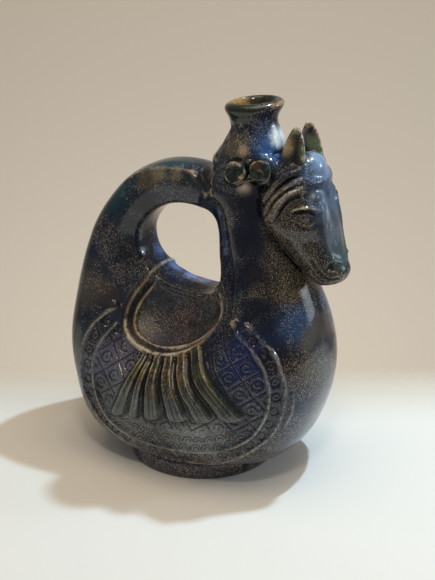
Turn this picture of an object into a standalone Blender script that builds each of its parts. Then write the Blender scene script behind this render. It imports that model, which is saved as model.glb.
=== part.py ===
"""Horse-head ewer: a hollow stoneware vessel cast in one piece, as a Blender model in metres.

The body is a ring that is fat below and thin above, so that its upper left makes the loop handle and
its right makes the horse's chest and neck. The head hangs in front of the neck, the mouth stands on
the poll behind the ears, and a low turned foot carries the whole. The horse faces +X, up is +Z, and
the origin is on the table at the middle of the ewer's footprint.
"""

import math

import bmesh
import bpy
from mathutils import Vector
from mathutils.bvhtree import BVHTree
from mathutils.kdtree import KDTree

# Driving sizes, in metres
EWER_HEIGHT = 0.268
WALL = 0.0055
HEAD_WALL = 0.0110
FOOT_RADIUS = 0.0535
FOOT_HEIGHT = 0.0120
FOOT_RIM = 0.0090
FOOT_RECESS = 0.0040
FOOT_ROUNDING = 0.0010
MOUTH_RADIUS = 0.0200
MOUTH_BORE_RADIUS = 0.0125
THROAT_RADIUS = 0.0100

# The free form is drawn on a grid of this many parts to the ewer's height, in the (X, Z) plane
PARTS_TO_HEIGHT = 268.0
PART = EWER_HEIGHT / PARTS_TO_HEIGHT

# How fine the clay is modelled, and how many triangles the fired surface and its hollow keep
CLAY_GRAIN = 0.0013
OUTER_TRIANGLES = 6300

COLLECTION_NAME = "horse_head_ewer"
CUTTERS_NAME = "cutters"

# Ring: the middle of the finger loop, and sections round it.
# Each row is angle in degrees, then in parts: the loop's edge, the outside, half the width,
# half the width at the loop's edge, then the share of the way out where it is widest, and the outer power.
LOOP_CENTRE = (-10.0, 158.0)
RING = (
    (0, 29.5, 87.0, 30.0, 15.0, 0.46, 2.2),
    (15, 30.5, 80.0, 28.5, 15.0, 0.46, 2.3),
    (30, 33.5, 82.0, 27.5, 15.0, 0.46, 2.6),
    (40, 35.5, 88.0, 28.0, 14.5, 0.48, 3.6),
    (50, 36.0, 90.0, 28.0, 14.5, 0.50, 4.0),
    (57, 35.0, 84.0, 26.5, 14.5, 0.50, 4.0),
    (61, 33.8, 75.5, 23.5, 14.0, 0.50, 3.6),
    (65, 32.6, 68.5, 18.5, 13.5, 0.52, 3.2),
    (70, 31.8, 62.8, 16.6, 13.0, 0.52, 3.0),
    (79, 30.8, 59.8, 16.6, 13.0, 0.52, 3.0),
    (95, 29.8, 59.4, 17.0, 13.0, 0.52, 3.0),
    (115, 29.8, 60.6, 17.5, 13.0, 0.52, 3.0),
    (132, 30.5, 62.3, 19.0, 13.5, 0.52, 2.8),
    (152, 32.0, 65.0, 22.0, 14.0, 0.52, 2.6),
    (164, 33.5, 68.3, 25.0, 14.0, 0.52, 2.5),
    (176, 35.0, 72.5, 29.0, 14.5, 0.52, 2.4),
    (186, 35.5, 76.8, 33.0, 15.0, 0.52, 2.3),
    (200, 35.0, 86.0, 40.0, 15.0, 0.52, 2.2),
    (212, 33.3, 98.5, 46.5, 15.0, 0.54, 2.2),
    (224, 31.5, 119.0, 51.5, 15.0, 0.56, 2.3),
    (235, 30.6, 138.0, 55.0, 15.5, 0.56, 2.5),
    (246, 29.8, 152.5, 57.5, 16.0, 0.56, 3.4),
    (258, 29.8, 153.5, 59.5, 16.0, 0.56, 4.2),
    (270, 30.0, 151.0, 60.5, 16.0, 0.56, 4.6),
    (282, 31.2, 153.5, 60.5, 16.0, 0.54, 4.2),
    (292, 33.6, 159.5, 60.0, 17.0, 0.48, 3.5),
    (302, 36.2, 162.5, 58.5, 18.5, 0.43, 2.7),
    (312, 38.0, 150.5, 55.5, 19.5, 0.42, 2.5),
    (325, 38.0, 133.0, 49.0, 19.5, 0.42, 2.3),
    (337, 34.5, 115.0, 41.5, 17.5, 0.43, 2.2),
    (348, 31.5, 99.0, 35.0, 16.0, 0.45, 2.2),
)
RING_SECTIONS = 96
RING_INNER_POINTS = 12
RING_OUTER_POINTS = 24
HOLLOW_SECTIONS = 40
HOLLOW_INNER_POINTS = 4
HOLLOW_OUTER_POINTS = 7
EDGE_ROUNDING = 3.5
EDGE_POWER = 2.5
EDGE_CROWDING = 1.6

# Head: sections from the forelock down to the lips, in parts. Each row is its place along the head,
# the front point (x, z), the back point (x, z), half the width, the share of the way back from the
# front where it is widest, and the powers of the front and the back.
HEAD = (
    (0.0, 82.0, 235.0, 66.0, 231.5, 10.0, 0.50, 2.2, 2.0),
    (1.0, 88.0, 231.5, 57.0, 223.5, 18.0, 0.50, 2.3, 2.2),
    (2.0, 91.0, 222.0, 53.0, 212.0, 22.5, 0.50, 2.4, 2.2),
    (3.0, 95.0, 209.0, 53.0, 200.5, 24.0, 0.52, 2.4, 2.3),
    (4.0, 99.5, 196.0, 57.0, 187.0, 23.5, 0.55, 2.3, 2.4),
    (5.0, 103.5, 182.0, 64.0, 175.0, 19.5, 0.52, 2.3, 2.4),
    (6.0, 106.5, 170.0, 73.0, 163.0, 15.0, 0.48, 2.4, 2.3),
    (7.0, 110.0, 163.0, 80.0, 155.0, 13.5, 0.40, 2.4, 2.2),
    (8.0, 111.5, 157.5, 86.0, 149.5, 12.5, 0.40, 2.3, 2.2),
    (9.0, 109.0, 151.5, 92.0, 146.5, 8.5, 0.45, 2.2, 2.0),
)
HEAD_SECTIONS = 60
HEAD_POINTS = 72
HEAD_HOLLOW_SECTIONS = 8
HEAD_HOLLOW_POINTS = 12

# Parts of wall that take one place off the head's hollow at the poll and at the lips, and the share of
# the wall that is left out at the back, where the head leans on the neck
POLL_PARTS = 20.0
LIPS_PARTS = 7.0
BACK_SHARE = 0.6

# Ears: sections from the root to the tip, in parts. Each row is its place along the ear, the middle
# (x, y, z), half the length, half the thickness and the depth of the hollow in front.
EAR = (
    (0.0, 75.0, 14.0, 222.0, 10.0, 6.0, 0.0),
    (1.0, 75.4, 13.8, 231.0, 9.0, 5.4, 3.6),
    (2.0, 75.8, 12.6, 239.0, 8.0, 4.8, 4.6),
    (3.0, 75.8, 10.8, 247.0, 6.4, 4.0, 3.4),
    (4.0, 75.4, 9.0, 253.4, 3.2, 2.6, 0.8),
)
EAR_SECTIONS = 20
EAR_POINTS = 24
EAR_HOLLOW_PLACE = 0.15
EAR_HOLLOW_WIDTH = 0.45

# Forelock: the middle of the tuft, and half its length, width and height, in parts
FORELOCK = (81.0, 0.0, 225.5)
FORELOCK_REACH = (11.0, 13.0, 10.5)

# Boss on each side of the poll that carries the second medallion: its middle and its radius, in parts
BOSS = (57.0, 15.0, 224.5)
BOSS_RADIUS = 10.0

# Mouth on the poll: half profile (radius, height) in parts, from under the lip down to the bead round
# the foot of the bulb, and how far forward its axis stands at each height (height, x). The bore follows
# the profile down to the bulb's base, then goes straight down to its bottom in the neck.
LIP_TOP = 265.6
MOUTH_PROFILE = (
    (19.3, 259.8),
    (17.0, 256.2),
    (15.4, 252.6),
    (15.5, 249.4),
    (17.0, 245.4),
    (19.4, 240.4),
    (22.0, 235.4),
    (23.6, 231.2),
    (24.8, 229.2),
    (24.8, 226.8),
    (23.6, 224.0),
    (22.0, 216.0),
)
MOUTH_AXIS = (
    (200.0, 34.0),
    (224.0, 35.5),
    (234.0, 38.6),
    (244.0, 40.6),
    (256.0, 39.5),
    (268.0, 40.2),
)
LIP_ROUNDING = 3.2
LIP_POINTS = 4
MOUTH_TILT = math.radians(6.0)
TURNED_SECTIONS = 32
FOOT_SECTIONS = 48
BULB_BASE = 230.0
BORE_BOTTOM = 206.0

# Relief on the flank, as paths of (x, z) points in parts. The rim of the saddle runs round its seat,
# and crosses the loop's inner face at two angles; two cords run round the saddlecloth with a band between.
SADDLE_RIM = (
    (-33.5, 136.0), (-36.0, 130.0), (-41.0, 120.5), (-43.0, 111.0), (-41.0, 100.5), (-34.0, 92.5),
    (-20.0, 87.8), (-3.0, 88.2), (13.5, 94.5), (28.0, 106.0), (36.0, 119.0), (35.0, 129.0), (24.0, 135.5),
)
RIM_CROSSES_LOOP = (222.0, 320.0)
CLOTH_EDGE = (
    (-46.0, 113.0), (-54.5, 109.0), (-63.0, 97.5), (-68.0, 80.0), (-68.0, 60.0), (-62.0, 44.0),
    (-50.0, 30.0), (-33.0, 20.0), (-10.0, 15.0), (15.0, 14.5), (40.0, 19.5), (61.0, 31.0),
    (77.0, 47.0), (84.5, 66.0), (85.0, 86.0), (79.0, 105.5), (67.0, 118.5), (56.0, 126.0),
)
CLOTH_CORD = (
    (-45.0, 104.0), (-52.5, 93.5), (-57.0, 80.0), (-57.0, 63.0), (-52.5, 46.5), (-44.0, 35.0),
    (-30.0, 28.0), (-12.0, 25.0), (11.0, 25.5), (34.0, 29.0), (53.0, 36.0), (67.0, 46.5), (75.5, 62.0),
    (78.0, 79.0), (74.0, 96.5), (65.0, 109.5), (54.0, 119.0), (49.0, 124.0),
)
CHEST_STRAP = ((88.5, 80.0), (89.0, 70.0), (87.0, 60.0), (83.0, 50.0))

# How far those stand up and how wide they are, in parts. The relief dies away between two distances
# out from the middle plane, so that it stays on the flank; all of it lies below a height.
RIM_RISE = 2.8
RIM_RISE_IN_LOOP = 0.9
RIM_REACH = 2.6
CORDS = ((CLOTH_EDGE, 1.8), (CLOTH_CORD, 1.6), (CHEST_STRAP, 1.0))
CORD_REACH = 1.8
CORD_FADE = 8.0
SEAT_SLOPES = ((1.4, 2.5, 6.0), (3.0, 6.5, 22.0))
SEAT_LINE = (1.5, 6.4, 1.5)
STRAP_BEAD = (48.5, 124.0)
BEAD_RISE = 2.6
BEAD_REACH = 3.2
FLANK_FROM = 13.0
FLANK_TO = 19.0
FLANK_TOP = 145.0

# Pleats below the saddle: they fan out from one point, between folds at angles from straight down that
# shift from the saddle to the hem, and end on a nearly level, scalloped hem. Their rises are of the
# cloth, then of the folds above and below; a wide pleat has a shallow fold down its own middle.
FAN_POINT = (-3.0, 131.0)
FOLDS_ABOVE = (-22.3, -16.0, -11.5, -2.0, 11.6, 26.2, 45.3)
FOLDS_BELOW = (-24.5, -14.8, -8.4, 4.9, 20.5, 33.0, 45.3)
FAN_SIDE = 2.5
PLEAT_RISES = (1.2, 2.2, 4.4)
PLEAT_VALLEY = 2.6
WIDE_PLEAT = 11.0
MIDDLE_FOLD = 0.35
MIDDLE_FOLD_SHARE = 0.13
FAN_TOP = 43.0
FAN_DROP = 77.5
FAN_SCALLOP = 7.0
FAN_HEM = 3.5

# Relief on the head, as paths of (x, z) points in parts: three locks of the mane swept back from the
# forelock, the lid over the eye, the edge of the nose and the line of the lips
LOCKS = (
    ((87.5, 226.4), (84.0, 227.6), (80.0, 226.8), (74.0, 223.0), (65.5, 214.0), (58.5, 204.0), (56.5, 196.0),
     (60.5, 187.5)),
    ((88.6, 220.6), (85.0, 221.4), (79.5, 219.5), (70.0, 211.0), (63.0, 201.0), (60.8, 194.5), (61.5, 187.0)),
    ((89.4, 215.2), (86.0, 216.0), (79.5, 213.8), (73.0, 207.5), (67.5, 198.5), (64.0, 192.5), (62.5, 186.5)),
)
EYE_LID = ((81.5, 200.8), (86.0, 202.6), (90.5, 202.4), (94.2, 200.0))
NOSE_EDGE = ((94.5, 207.0), (98.0, 190.0), (102.0, 173.0), (107.0, 163.5))
LIPS = ((110.0, 156.0), (104.0, 155.0), (98.5, 158.0), (94.0, 162.5))

# Each ridge is a path, its rise, its half width and how soon it dies away at its ends, in parts; a
# groove sinks. Each swell is a place (x, z), its rise and its reach: brow, cheek, eye, then two hollows,
# beside the nose and in the nostril.
HEAD_RIDGES = tuple((lock, 3.2, 1.8, 9.0) for lock in LOCKS) + (
    (EYE_LID, 1.8, 1.5, 3.0),
    (NOSE_EDGE, 1.9, 2.6, 6.0),
    (LIPS, -2.0, 1.5, 3.0),
)
HEAD_SWELLS = (
    (87.5, 206.5, 2.4, 7.0),
    (71.0, 189.0, 2.6, 12.0),
    (88.5, 197.6, 2.0, 4.0),
    (92.0, 180.0, -3.0, 7.5),
    (104.0, 163.8, -3.4, 2.4),
)
HEAD_SKIN_NEAR = 1.0
HEAD_SKIN_FAR = 3.0

# Medallions below the bulb: their middles (x, z), radius, rise and the dip in the middle, in parts
MEDALLIONS = ((39.5, 222.3), (57.3, 225.0))
MEDALLION_RADIUS = 8.0
MEDALLION_EDGE = 1.6
MEDALLION_RISE = 2.2
MEDALLION_DIP = 1.6
DIP_REACH = 4.0


def at(x, y, z):
    """A point of the free form, given in parts, in metres."""
    return Vector((x * PART, y * PART, z * PART))


def catmull(p0, p1, p2, p3, values, where):
    """The curve through four columns of values that stand at four places, between the middle two."""
    t = (where - p1) / (p2 - p1)
    found = []
    for a, b, c, d in zip(*values):
        slope_in = (c - a) / (p2 - p0) * (p2 - p1)
        slope_out = (d - b) / (p3 - p1) * (p2 - p1)
        start = b * (2 * t**3 - 3 * t**2 + 1) + slope_in * (t**3 - 2 * t**2 + t)
        end = c * (3 * t**2 - 2 * t**3) + slope_out * (t**3 - t**2)
        found.append(start + end)
    return found


def along(rows, where):
    """The rows' columns on a smooth curve, at a value of their first column."""
    last = len(rows) - 1
    where = min(max(where, rows[0][0]), rows[last][0])
    i = max(k for k in range(last) if rows[k][0] <= where)
    picks = [rows[max(i - 1, 0)], rows[i], rows[i + 1], rows[min(i + 2, last)]]
    places = [row[0] for row in picks]
    if i == 0:
        places[0] = 2 * places[1] - places[2]
    if i == last - 1:
        places[3] = 2 * places[2] - places[1]
    return catmull(*places, [row[1:] for row in picks], where)


def around(rows, angle):
    """The rows' columns on a smooth closed curve, at an angle in degrees."""
    count = len(rows)
    angle %= 360.0
    i = max(k for k in range(count) if rows[k][0] <= angle)
    picks = [rows[(i + k) % count] for k in (-1, 0, 1, 2)]
    places = [rows[(i + k) % count][0] + 360.0 * ((i + k) // count) for k in (-1, 0, 1, 2)]
    return catmull(*places, [row[1:] for row in picks], angle)


def ring_section(angle, inset, inner_points, outer_points):
    """One closed section of the ring: distances out from the loop's centre, and sideways, in parts."""
    near, far, width, edge, widest, power = around(RING, angle)
    near, far, width, edge = near + inset, far - inset, width - inset, edge - inset
    depth = far - near
    side = []
    for k in range(inner_points):
        share = widest * (k / inner_points) ** EDGE_CROWDING
        swell = share / widest
        wide = edge + (width - edge) * swell * swell * (3 - 2 * swell)
        rounding = min(1.0, share * depth / EDGE_ROUNDING)
        wide *= (1 - (1 - rounding) ** EDGE_POWER) ** (1 / EDGE_POWER)
        side.append((near + share * depth, wide))
    for k in range(outer_points):
        turn = math.pi / 2 * k / outer_points
        share = widest + (1 - widest) * math.sin(turn) ** (2 / power)
        side.append((near + share * depth, width * math.cos(turn) ** (2 / power)))
    side.append((far, 0.0))
    return side + [(out, -wide) for out, wide in side[-2:0:-1]]


def ring_shape(sections, inner_points, outer_points, inset=0.0):
    """The ring's closed surface, drawn in by an inset, as rows of points in metres."""
    x, z = LOOP_CENTRE
    rows = []
    for k in range(sections):
        angle = 360.0 * k / sections
        across, up = math.cos(math.radians(angle)), math.sin(math.radians(angle))
        section = ring_section(angle, inset, inner_points, outer_points)
        rows.append([at(x + out * across, wide, z + out * up) for out, wide in section])
    return rows


def head_shape(sections, points, inset=0.0):
    """The head's sections as rows of points in metres, drawn in by an inset but let out into the neck."""
    rows = []
    first = inset / POLL_PARTS
    last = HEAD[-1][0] - inset / LIPS_PARTS
    for k in range(sections + 1):
        place = first + (last - first) * k / sections
        front_x, front_z, back_x, back_z, width, widest, front_power, back_power = along(HEAD, place)
        front_x, back_x, width = front_x - inset, back_x - BACK_SHARE * inset, width - inset
        row = []
        for j in range(points):
            turn = 2 * math.pi * j / points
            ahead, aside = math.cos(turn), math.sin(turn)
            power = front_power if ahead > 0 else back_power
            ahead = math.copysign(abs(ahead) ** (2 / power), ahead)
            aside = math.copysign(abs(aside) ** (2 / power), aside)
            share = widest - widest * ahead if ahead > 0 else widest - (1 - widest) * ahead
            x = front_x + (back_x - front_x) * share
            z = front_z + (back_z - front_z) * share
            row.append(at(x, width * aside, z))
        rows.append(row)
    return rows


def ear_shape(flank):
    """One ear's sections, as rows of points in metres; flank is 1 or -1 for the side it stands on."""
    rows = []
    for k in range(EAR_SECTIONS + 1):
        place = EAR[-1][0] * k / EAR_SECTIONS
        x, y, z, length, thickness, hollow = along(EAR, place)
        row = []
        for j in range(EAR_POINTS):
            turn = 2 * math.pi * j / EAR_POINTS
            ahead, out = math.cos(turn), math.sin(turn)
            scoop = hollow * bump(ahead - EAR_HOLLOW_PLACE, EAR_HOLLOW_WIDTH) if out > 0 else 0.0
            row.append(at(x + length * ahead, flank * (y + thickness * out - scoop), z))
        rows.append(row)
    return rows


def turned(name, profile, steps):
    """A closed turned body about Z, from a half profile (radius, height) in metres that runs downwards."""
    mesh = bpy.data.meshes.new(name)
    points = [(0.0, 0.0, profile[0][1])]
    points += [(radius, 0.0, height) for radius, height in profile]
    points += [(0.0, 0.0, profile[-1][1])]
    mesh.from_pydata(points, [(k, k + 1) for k in range(len(points) - 1)], [])
    made = bpy.data.objects.new(name, mesh)
    cutters.objects.link(made)
    screw = made.modifiers.new("turn", "SCREW")
    screw.steps = round(steps)
    screw.render_steps = round(steps)
    screw.use_merge_vertices = True
    screw.merge_threshold = 0.00001
    return settled(made)


def lean_mouth(bm):
    """Sets a turned body on the mouth's axis, which wanders forward, and tips it back."""
    for vert in bm.verts:
        height = vert.co.z / PART
        axis = along(MOUTH_AXIS, height)[0] * PART
        vert.co.z += vert.co.x * math.tan(MOUTH_TILT)
        vert.co.x += axis


def loft(rows, closed):
    """A closed body through rows of points; a row is a closed loop, and so is their run when closed."""
    bm = bmesh.new()
    loops = [[bm.verts.new(point) for point in row] for row in rows]
    pairs = list(zip(loops, loops[1:] + loops[:1])) if closed else list(zip(loops, loops[1:]))
    for first, second in pairs:
        for k in range(len(first)):
            j = (k + 1) % len(first)
            bm.faces.new((first[k], first[j], second[j], second[k]))
    if not closed:
        bm.faces.new(loops[0])
        bm.faces.new(loops[-1])
    bmesh.ops.recalc_face_normals(bm, faces=bm.faces)
    return bm


def make_object(name, bm, collection):
    """An object that takes a bmesh as its mesh."""
    mesh = bpy.data.meshes.new(name)
    bm.to_mesh(mesh)
    bm.free()
    made = bpy.data.objects.new(name, mesh)
    collection.objects.link(made)
    return made


def settled(made):
    """A bmesh of an object with its modifiers taken in; the object goes."""
    bpy.context.view_layer.update()
    evaluated = made.evaluated_get(bpy.context.evaluated_depsgraph_get())
    mesh = bpy.data.meshes.new_from_object(evaluated)
    bm = bmesh.new()
    bm.from_mesh(mesh)
    bpy.data.meshes.remove(mesh)
    bpy.data.objects.remove(made, do_unlink=True)
    return bm


def helper(name, bm):
    """A wire-drawn object that only cuts or adds to others."""
    made = make_object(name, bm, cutters)
    made.display_type = "WIRE"
    made.hide_render = True
    made.hide_set(True)
    return made


def glaze_material():
    """Dark speckled stoneware glaze: nearly black blue, with a hard gloss."""
    material = bpy.data.materials.new("night_glaze")
    material.use_nodes = True
    shader = material.node_tree.nodes["Principled BSDF"]
    shader.inputs["Base Color"].default_value = (0.030, 0.036, 0.055, 1.0)
    shader.inputs["Roughness"].default_value = 0.22
    shader.inputs["Metallic"].default_value = 0.0
    return material


def new_collection(name):
    made = bpy.data.collections.new(name)
    bpy.context.scene.collection.children.link(made)
    return made


def curve_through(points, step):
    """Points of (x, z) about a step apart, on a smooth curve through a path's own points."""
    rows = [(float(k), *point) for k, point in enumerate(points)]
    found = []
    for k in range(len(points) - 1):
        length = math.dist(points[k], points[k + 1])
        count = max(1, math.ceil(length / step))
        found += [tuple(along(rows, k + j / count)) for j in range(count)]
    return found + [tuple(points[-1])]


def on_flank(surface, x, z):
    """The point of the surface that is met from the -Y side at a place given in parts."""
    hit = surface.ray_cast(at(x, -PARTS_TO_HEIGHT, z), Vector((0.0, 1.0, 0.0)))
    return hit[0]


def across_loop(angle):
    """Points about a part apart, straight across half of the loop's inner face at an angle round it."""
    near, _, _, edge, _, _ = around(RING, angle)
    x = LOOP_CENTRE[0] + near * math.cos(math.radians(angle))
    z = LOOP_CENTRE[1] + near * math.sin(math.radians(angle))
    return [at(x, -aside, z) for aside in range(int(edge))]


def nearness(surface, points, more=()):
    """A function that finds how far a point is from a path on the flank, and how far along from its ends."""
    laid = [on_flank(surface, x, z) for x, z in curve_through(points, 1.0)]
    laid = [point for point in laid if point is not None] + list(more)
    tree = KDTree(len(laid))
    for k, point in enumerate(laid):
        tree.insert(point, k)
    tree.balance()

    def near(point):
        place, distance = tree.find(point)[1:]
        return distance / PART, min(place, len(laid) - 1 - place)

    return near


def bump(distance, reach):
    """A smooth hump of height 1 that falls away over a reach."""
    return math.exp(-((distance / reach) ** 2))


def step(value, low, high):
    """A smooth rise from 0 at low to 1 at high."""
    share = min(max((value - low) / (high - low), 0.0), 1.0)
    return share * share * (3.0 - 2.0 * share)


def inside(x, z, outline):
    """Whether a point lies within a closed outline of (x, z) points."""
    found = False
    last_x, last_z = outline[-1]
    for here_x, here_z in outline:
        if (here_z > z) != (last_z > z):
            if x < here_x + (z - here_z) * (last_x - here_x) / (last_z - here_z):
                found = not found
        last_x, last_z = here_x, here_z
    return found


def ridge(near, point, reach, fade):
    """A hump of height 1 along a path, which dies away towards the path's two ends."""
    distance, from_end = near(point)
    return bump(distance, reach) * step(from_end, -1.0, fade)


def fan_height(x, z):
    """How far the pleated fan stands up at a place on the flank, in parts."""
    across, down = x - FAN_POINT[0], FAN_POINT[1] - z
    out = math.hypot(across, down)
    angle = math.degrees(math.atan2(across, down))
    lowest = FAN_DROP / math.cos(math.radians(angle - (FOLDS_BELOW[0] + FOLDS_BELOW[-1]) / 2))
    fall = step(out, FAN_TOP, lowest)
    folds = [above + (below - above) * fall for above, below in zip(FOLDS_ABOVE, FOLDS_BELOW)]
    pleat = min(max(sum(fold <= angle for fold in folds) - 1, 0), len(folds) - 2)
    width = folds[pleat + 1] - folds[pleat]
    share = (angle - folds[pleat]) / width
    crown = 1.0 - abs(math.cos(math.pi * share)) ** PLEAT_VALLEY
    hem = lowest + FAN_SCALLOP * crown
    if width > WIDE_PLEAT:
        crown -= MIDDLE_FOLD * bump(share - 0.5, MIDDLE_FOLD_SHARE) * (1.0 - fall)
    cloth, fold_above, fold_below = PLEAT_RISES
    rise = cloth + (fold_above + (fold_below - fold_above) * fall) * crown
    left = step(angle, folds[0] - FAN_SIDE / 2, folds[0] + FAN_SIDE / 2)
    right = 1.0 - step(angle, folds[-1] - FAN_SIDE / 2, folds[-1] + FAN_SIDE / 2)
    return rise * left * right * (1.0 - step(out, hem - FAN_HEM, hem))


def raise_relief(bm, height_at):
    """Moves each point along its normal by a height in parts."""
    bm.normal_update()
    moves = [(vert, vert.normal * height_at(vert.co) * PART) for vert in bm.verts]
    for vert, move in moves:
        vert.co += move


def head_relief(surface, head_skin):
    """The height of the head's carving at a point, in parts, as a function."""
    ridges = [(nearness(surface, path), *sizes) for path, *sizes in HEAD_RIDGES]
    swells = [(on_flank(surface, x, z), rise, reach) for x, z, rise, reach in HEAD_SWELLS]

    def height_at(point):
        off_head = head_skin.find_nearest(point)[3] / PART
        if off_head > HEAD_SKIN_FAR:
            return 0.0
        height = sum(rise * ridge(near, point, reach, fade) for near, rise, reach, fade in ridges)
        height += sum(rise * bump((point - middle).length / PART, reach) for middle, rise, reach in swells)
        return height * (1.0 - step(off_head, HEAD_SKIN_NEAR, HEAD_SKIN_FAR))

    return height_at


def saddle_relief(surface):
    """The height of the saddle, its cloth and the pleats at a point, in parts, as a function."""
    crossings = [point for angle in RIM_CROSSES_LOOP for point in across_loop(angle)]
    rim = nearness(surface, SADDLE_RIM, crossings)
    seat_outline = curve_through(SADDLE_RIM, 2.0) + [LOOP_CENTRE]
    cords = [(nearness(surface, path), rise) for path, rise in CORDS]
    bead = on_flank(surface, *STRAP_BEAD)
    line_rise, line_place, line_reach = SEAT_LINE

    def height_at(point):
        x, y, z = point / PART
        if z > FLANK_TOP:
            return 0.0
        off_rim = rim(point)[0]
        on_side = step(-y, FLANK_FROM, FLANK_TO)
        if inside(x, z, seat_outline):
            on_flat = line_rise * bump(off_rim - line_place, line_reach)
            on_flat -= sum(depth * step(off_rim, start, end) for depth, start, end in SEAT_SLOPES)
        else:
            on_flat = fan_height(x, z) * step(off_rim, 0.0, RIM_REACH)
            on_flat += sum(rise * ridge(cord, point, CORD_REACH, CORD_FADE) for cord, rise in cords)
        on_flat += (RIM_RISE - RIM_RISE_IN_LOOP) * bump(off_rim, RIM_REACH)
        on_flat += BEAD_RISE * bump((point - bead).length / PART, BEAD_REACH)
        return RIM_RISE_IN_LOOP * bump(off_rim, RIM_REACH) + on_flat * on_side

    return height_at


def medallion_relief(surface):
    """The height of the medallions at a point, in parts, as a function."""
    middles = [on_flank(surface, *place) for place in MEDALLIONS]

    def height_at(point):
        distance = min((point - middle).length for middle in middles) / PART
        plate = 1.0 - step(distance, MEDALLION_RADIUS - MEDALLION_EDGE, MEDALLION_RADIUS)
        return (MEDALLION_RISE - MEDALLION_DIP * bump(distance, DIP_REACH)) * plate

    return height_at


def half_of(bm):
    """Keeps only the -Y half of a form, open at the plane Y = 0."""
    everything = list(bm.verts) + list(bm.edges) + list(bm.faces)
    bmesh.ops.bisect_plane(bm, geom=everything, plane_co=(0, 0, 0), plane_no=(0, 1, 0), clear_outer=True)


def mirrored(bm):
    """Closes a half form with its mirror image."""
    for vert in bm.verts:
        if any(edge.is_boundary for edge in vert.link_edges):
            vert.co.y = 0.0
    everything = list(bm.verts) + list(bm.edges) + list(bm.faces)
    bmesh.ops.mirror(bm, geom=everything, axis="Y", merge_dist=PART / 100.0)
    bmesh.ops.recalc_face_normals(bm, faces=bm.faces)


def fused(target, tool, operation):
    """Adds a Boolean of one object with another."""
    modifier = target.modifiers.new(tool.name, "BOOLEAN")
    modifier.operation = operation
    modifier.solver = "EXACT"
    modifier.object = tool


for old in list(bpy.data.objects):
    bpy.data.objects.remove(old, do_unlink=True)

parts = new_collection(COLLECTION_NAME)
cutters = new_collection(CUTTERS_NAME)

# The raw form: ring, head, forelock, ears, and the bulb with its lip, pressed into one lump
forelock = bmesh.new()
bmesh.ops.create_uvsphere(forelock, u_segments=24, v_segments=16, radius=1.0)
for vert in forelock.verts:
    x, y, z = (middle + reach * place for middle, reach, place in zip(FORELOCK, FORELOCK_REACH, vert.co))
    vert.co = at(x, y, z)
rounding = LIP_ROUNDING * PART
bulb_profile = []
for k in range(LIP_POINTS):
    turn = math.pi / 2 * k / (LIP_POINTS - 1)
    inward, down = 1.0 - math.sin(turn), 1.0 - math.cos(turn)
    bulb_profile.append((MOUTH_RADIUS - inward * rounding, LIP_TOP * PART - down * rounding))
bulb_profile += [(radius * PART, height * PART) for radius, height in MOUTH_PROFILE]
bulb = turned("bulb", bulb_profile, TURNED_SECTIONS)
lean_mouth(bulb)
head = loft(head_shape(HEAD_SECTIONS, HEAD_POINTS), False)
head_skin = BVHTree.FromBMesh(head)
ring = loft(ring_shape(RING_SECTIONS, RING_INNER_POINTS, RING_OUTER_POINTS), True)
forms = [ring, head, forelock, bulb]
for flank in (1, -1):
    forms.append(loft(ear_shape(flank), False))
    boss = bmesh.new()
    bmesh.ops.create_uvsphere(boss, u_segments=24, v_segments=16, radius=BOSS_RADIUS * PART)
    bmesh.ops.translate(boss, verts=boss.verts, vec=at(BOSS[0], flank * BOSS[1], BOSS[2]))
    forms.append(boss)
clay = bmesh.new()
for form in forms:
    bmesh.ops.recalc_face_normals(form, faces=form.faces)
    spare = bpy.data.meshes.new("form")
    form.to_mesh(spare)
    form.free()
    clay.from_mesh(spare)
    bpy.data.meshes.remove(spare)
lump = make_object("lump", clay, cutters)
remesh = lump.modifiers.new("one lump", "REMESH")
remesh.mode = "VOXEL"
remesh.voxel_size = CLAY_GRAIN
body = settled(lump)
every_way = {"use_axis_x": True, "use_axis_y": True, "use_axis_z": True}
for _ in range(2):
    bmesh.ops.smooth_vert(body, verts=body.verts, factor=0.5, **every_way)
half_of(body)
skin = BVHTree.FromBMesh(body)
for relief in (head_relief(skin, head_skin), saddle_relief(skin), medallion_relief(skin)):
    raise_relief(body, relief)

# The same form with fewer faces, whole again
half = make_object("half", body, cutters)
fewer = half.modifiers.new("fewer faces", "DECIMATE")
fewer.ratio = OUTER_TRIANGLES / 2 / sum(len(face.vertices) - 2 for face in half.data.polygons)
body = settled(half)
mirrored(body)
ewer = make_object("ewer", body, parts)

# Foot: a turned ring with a shallow recess under it
foot = turned("foot", [
    (FOOT_RADIUS - WALL, FOOT_HEIGHT + WALL),
    (FOOT_RADIUS - FOOT_ROUNDING, FOOT_HEIGHT),
    (FOOT_RADIUS, FOOT_HEIGHT - 2 * FOOT_ROUNDING),
    (FOOT_RADIUS, FOOT_ROUNDING),
    (FOOT_RADIUS - FOOT_ROUNDING, 0.0),
    (FOOT_RADIUS - FOOT_RIM, 0.0),
    (FOOT_RADIUS - FOOT_RIM - FOOT_ROUNDING, FOOT_RECESS),
], FOOT_SECTIONS)
fused(ewer, helper("foot", foot), "UNION")

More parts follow.
